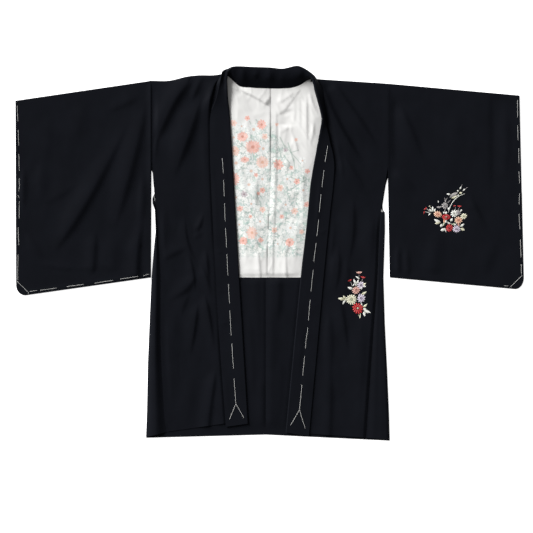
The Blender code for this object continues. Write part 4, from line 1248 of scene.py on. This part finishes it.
SLEEVE_SPRAY = [
    Stem(481, 173, 477, 164, 0.5, 1.4, "grey"), Stem(496, 166, 482, 155, -1.0, 1.4, "grey"),
    Stem(489, 150, 447, 102, -10, 2.0, "white"), Stem(452, 134, 444, 126, 0.5, 1.6, "grey"),
    Stem(436, 140, 438, 127, 1.5, 1.8, "grey"), Stem(445, 139, 440, 127, -2.0, 1.8, "grey"),
    Stem(391, 113, 400, 105, 0.5, 1.4, "white"), Stem(388, 104, 400, 103, -0.5, 1.4, "white"),
    Stem(399, 119, 404, 112, 0.0, 1.4, "cream"), Stem(463, 118, 464, 108, 0.5, 1.4, "grey"),
    Stem(474, 116, 471, 107, -0.5, 1.4, "grey"), Stem(438, 112, 437, 104, 0.5, 2.0, "grey"),
    Leaf(450, 139, 470, 152, 10.5, "grey", 1.0), Leaf(454, 138, 469, 145, 6, "cream", -1.0),
    Leaf(452, 147, 442, 149, 5, "white"), Leaf(475, 160, 479, 167, 4, "white"),
    Leaf(468, 157, 473, 156, 4.4, "white"), Leaf(474, 150, 481, 152, 6.5, "cream"),
    Leaf(483, 157, 489, 161, 4, "white"), Leaf(470, 144, 473, 147, 3.5, "white"),
    Bud(424, 112, 97, 14, "grey"), Leaf(422, 126, 421, 132, 2.6, "white"),
    Bud(391, 110, 128, 10, "red"), Bud(388, 102, 160, 8, "red"), Bud(400, 117, 122, 6, "cream"),
    Leaf(408, 104, 407, 118, 6, "white"), Leaf(406, 104, 399, 111, 5, "white"),
    Leaf(411, 104, 414, 112, 5, "white"), Leaf(402, 101, 397, 95, 4, "white"),
    Bud(463, 117, 108, 8, "red"), Bud(474, 115, 86, 11, "red"),
    Leaf(447, 108, 448, 115, 6, "white"), Leaf(437, 100, 434, 104, 5, "white"),
    Leaf(440, 98, 442, 105, 6, "white"), Leaf(477, 104, 480, 110, 4, "white"),
    Leaf(427, 78, 411, 86, 8, "white", 1.2), Leaf(427, 77, 413, 74, 6.5, "cream", -1.0),
    Leaf(431, 74, 427, 66, 6.5, "white"), Leaf(436, 86, 437, 74, 6, "peach"),
    Leaf(437, 80, 432, 68, 5, "green", 1.0), Leaf(441, 84, 440, 76, 5, "white"),
    Leaf(438, 62, 427, 58, 8, "white", 1.0), Leaf(437, 64, 441, 53, 4, "white"),
    Leaf(444, 79, 453, 75, 4.4, "white", -1.4), Leaf(452, 80, 457, 88, 7, "white"),
    Leaf(453, 73, 464, 77, 4.5, "green", -2.0), Leaf(460, 70, 466, 74, 4, "white"),
    Leaf(476, 67, 486, 74, 6, "white"), Leaf(477, 63, 487, 58, 7.5, "cream"),
    Leaf(470, 76, 474, 68, 5, "rose"),
    Flower(438, 119, 8.5, 8, 0.3, "grey", "grey"), Flower(420, 98, 10.5, 10, 0.4, "peach", "peach", 0.8),
    Flower(461, 100, 9.5, 9, 0.1, "white", "grey"), Flower(471, 102, 7, 8, 0.4, "grey", "lilac"),
    Flower(485, 93, 8, 9, 0.2, "cream", "green"), Flower(472, 83, 10, 10, 0.3, "peach", "rose"),
    Flower(467, 61, 9.5, 12, 0.1, "lilac", "lilac"), Flower(441, 91, 10.5, 10, 0.0, "red", "cream", 0.75),
    Flower(449, 64, 9.5, 10, 0.2, "red", "red"),
]
Work = namedtuple("Work", "height corners faces silks grain")


def pad(work, root, tip, width, silk, kind, bend=0.0, base=0.0):
    """A low mound of stitches along a slightly bent line from its root to its tip."""
    first, rows = len(work.corners), 10 if kind == "stem" else 7
    run = tip - root
    aside = Vector((-run.y, run.x)).normalized()
    for k in range(rows + 1):
        t = k / rows
        half_width = width / 2 * max(0.12, PADS[kind](min(0.999, max(0.001, t))))
        crown = min(PAD_RISE, width * 0.3) * (0.35 + 0.65 * math.sin(math.pi * t))
        for s in PAD_ACROSS:
            x, y = root + run * t + aside * (half_width * s + bend * 4 * t * (1 - t))
            work.corners.append((x, y, work.height(x, y) + base + crown * (1 - s * s) - PAD_SINK))
            work.grain.append((half_width * s / GRAIN_UNIT, t))
    work.faces.extend(net(np.arange(first, len(work.corners)).reshape(rows + 1, -1).T).tolist())
    work.silks.extend([silk] * (len(work.faces) - len(work.silks)))


def flower(work, motif):
    """Two rings of petals round a small button."""
    middle = Vector((motif.x, motif.y))
    for ring, (start, stop, base) in enumerate(((0.22, 1.0, 0.0), (0.08, 0.62, 0.35))):
        width = math.tau * motif.reach * stop * PETAL_FILL / motif.petals
        for k in range(motif.petals):
            angle = motif.turn + math.tau * (k + ring / 2) / motif.petals
            length = stop * (1 + 0.07 * math.sin(5.1 * k + motif.x))
            way = Vector((math.cos(angle), math.sin(angle) * motif.squash)) * motif.reach
            pad(work, middle + way * start, middle + way * length, width, motif.silk, "petal", base=base)
    button = Vector((motif.reach * 0.17, 0))
    pad(work, middle - button, middle + button, button.x * 2, motif.heart, "leaf", base=0.9)


def bud(work, motif):
    """A fan of petals whose tips lie in a shallow arc."""
    root = Vector((motif.x, motif.y))
    way = Vector((math.cos(math.radians(motif.towards)), math.sin(math.radians(motif.towards))))
    aside = Vector((-way.y, way.x))
    for spread in (-1.0, -0.5, 0.0, 0.5, 1.0):
        tip = root + (way * (0.46 - 0.06 * spread**2) + aside * spread * 0.44) * motif.width
        pad(work, root, tip, motif.width * 0.17, motif.silk, "petal")


def silk_thread(name, silk):
    """Flat untwisted silk: stitches side by side, darker where they enter at the root."""
    material, shader, grain = fabric(name, "UV")
    across, along = grain.parts()
    ridges = (across * (math.tau * GRAIN_UNIT / STITCH_WIDTH)).by("SINE")
    feed(shader, {
        "Base Color": ramp(along, (0.15, silk.root), (0.85, silk.tip)),
        "Roughness": 0.4,
        "Specular IOR Level": 0.35,
        "Sheen Weight": 0.15,
        "Normal": bumped(ridges, 0.06, 0.7),
    })
    return material


def spray(name, cloth, motifs):
    """All the stitching of one spray, on the upper face of its cloth."""
    work = Work(resting(cloth), [], [], [], [])
    for motif in motifs:
        if isinstance(motif, Flower):
            flower(work, motif)
        elif isinstance(motif, Bud):
            bud(work, motif)
        else:
            kind = "stem" if isinstance(motif, Stem) else "leaf"
            root, tip = Vector((motif.x0, motif.y0)), Vector((motif.x1, motif.y1))
            pad(work, root, tip, motif.width, motif.silk, kind, motif.bend)
    thing = surface(name, work.corners, work.faces, silk_cloths.values())
    order = list(silk_cloths)
    thing.data.polygons.foreach_set("material_index", [order.index(silk) for silk in work.silks])
    stitches = thing.data.uv_layers.new(name="stitches")
    for loop, place in zip(thing.data.loops, stitches.uv):
        place.vector = work.grain[loop.vertex_index]
    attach(thing, "root")


silk_cloths = {label: silk_thread("silk_" + label, silk) for label, silk in SILKS.items()}
spray("front_spray", bodies["left"], FRONT_SPRAY)
spray("sleeve_spray", sleeves["left"], SLEEVE_SPRAY)

# ---------------------------------------------------------------------------------------------
# Floor, light and camera. The jacket lies on a plain white sheet under a large soft light from the
# upper left, seen from straight above.
# ---------------------------------------------------------------------------------------------

FLOOR_SIZE = 9.0
FLOOR_Z = -0.0004
bpy.ops.mesh.primitive_plane_add(size=FLOOR_SIZE, location=(0, 0, FLOOR_Z))
floor = bpy.context.object
floor.name = "floor"
paper, shader, place = fabric("white_paper")
feed(shader, {
    "Base Color": ramp(speckle(place, 400.0), (0.3, (0.93, 0.93, 0.93)), (0.7, (0.95, 0.95, 0.95))),
    "Roughness": 0.9,
    "Specular IOR Level": 0.2,
    "Emission Color": (1.0, 1.0, 1.0),
    "Emission Strength": 0.8,            # lit from below, so shadows stay faint
})
floor.data.materials.append(paper)

SUN_STRENGTH = 7.6
SUN_SOFTNESS = math.radians(38)
SUN_HEIGHT = math.radians(24)     # above the floor
SUN_FROM = math.radians(142)      # from the upper left
sun = bpy.data.objects.new("key_light", bpy.data.lights.new("key_light", "SUN"))
sun.data.energy = SUN_STRENGTH
sun.data.angle = SUN_SOFTNESS
sun.rotation_euler = (0, math.pi / 2 - SUN_HEIGHT, SUN_FROM)
bpy.context.scene.collection.objects.link(sun)

WORLD_STRENGTH = 0.27
world = bpy.data.worlds.new("studio")
world.use_nodes = True
feed(world.node_tree.nodes["Background"].inputs, {"Color": (1.0, 1.0, 1.0), "Strength": WORLD_STRENGTH})
bpy.context.scene.world = world
bpy.context.scene.view_settings.view_transform = "Standard"

VIEW_WIDTH = 1.3325               # width of cloth that the frame takes in
VIEW_CENTRE = (-0.0079, -0.0325)
CAMERA_HEIGHT = 6.0
camera = bpy.data.objects.new("camera", bpy.data.cameras.new("camera"))
camera.location = (*VIEW_CENTRE, CAMERA_HEIGHT)
camera.data.lens = camera.data.sensor_width * CAMERA_HEIGHT / VIEW_WIDTH
bpy.context.scene.collection.objects.link(camera)
bpy.context.scene.camera = camera
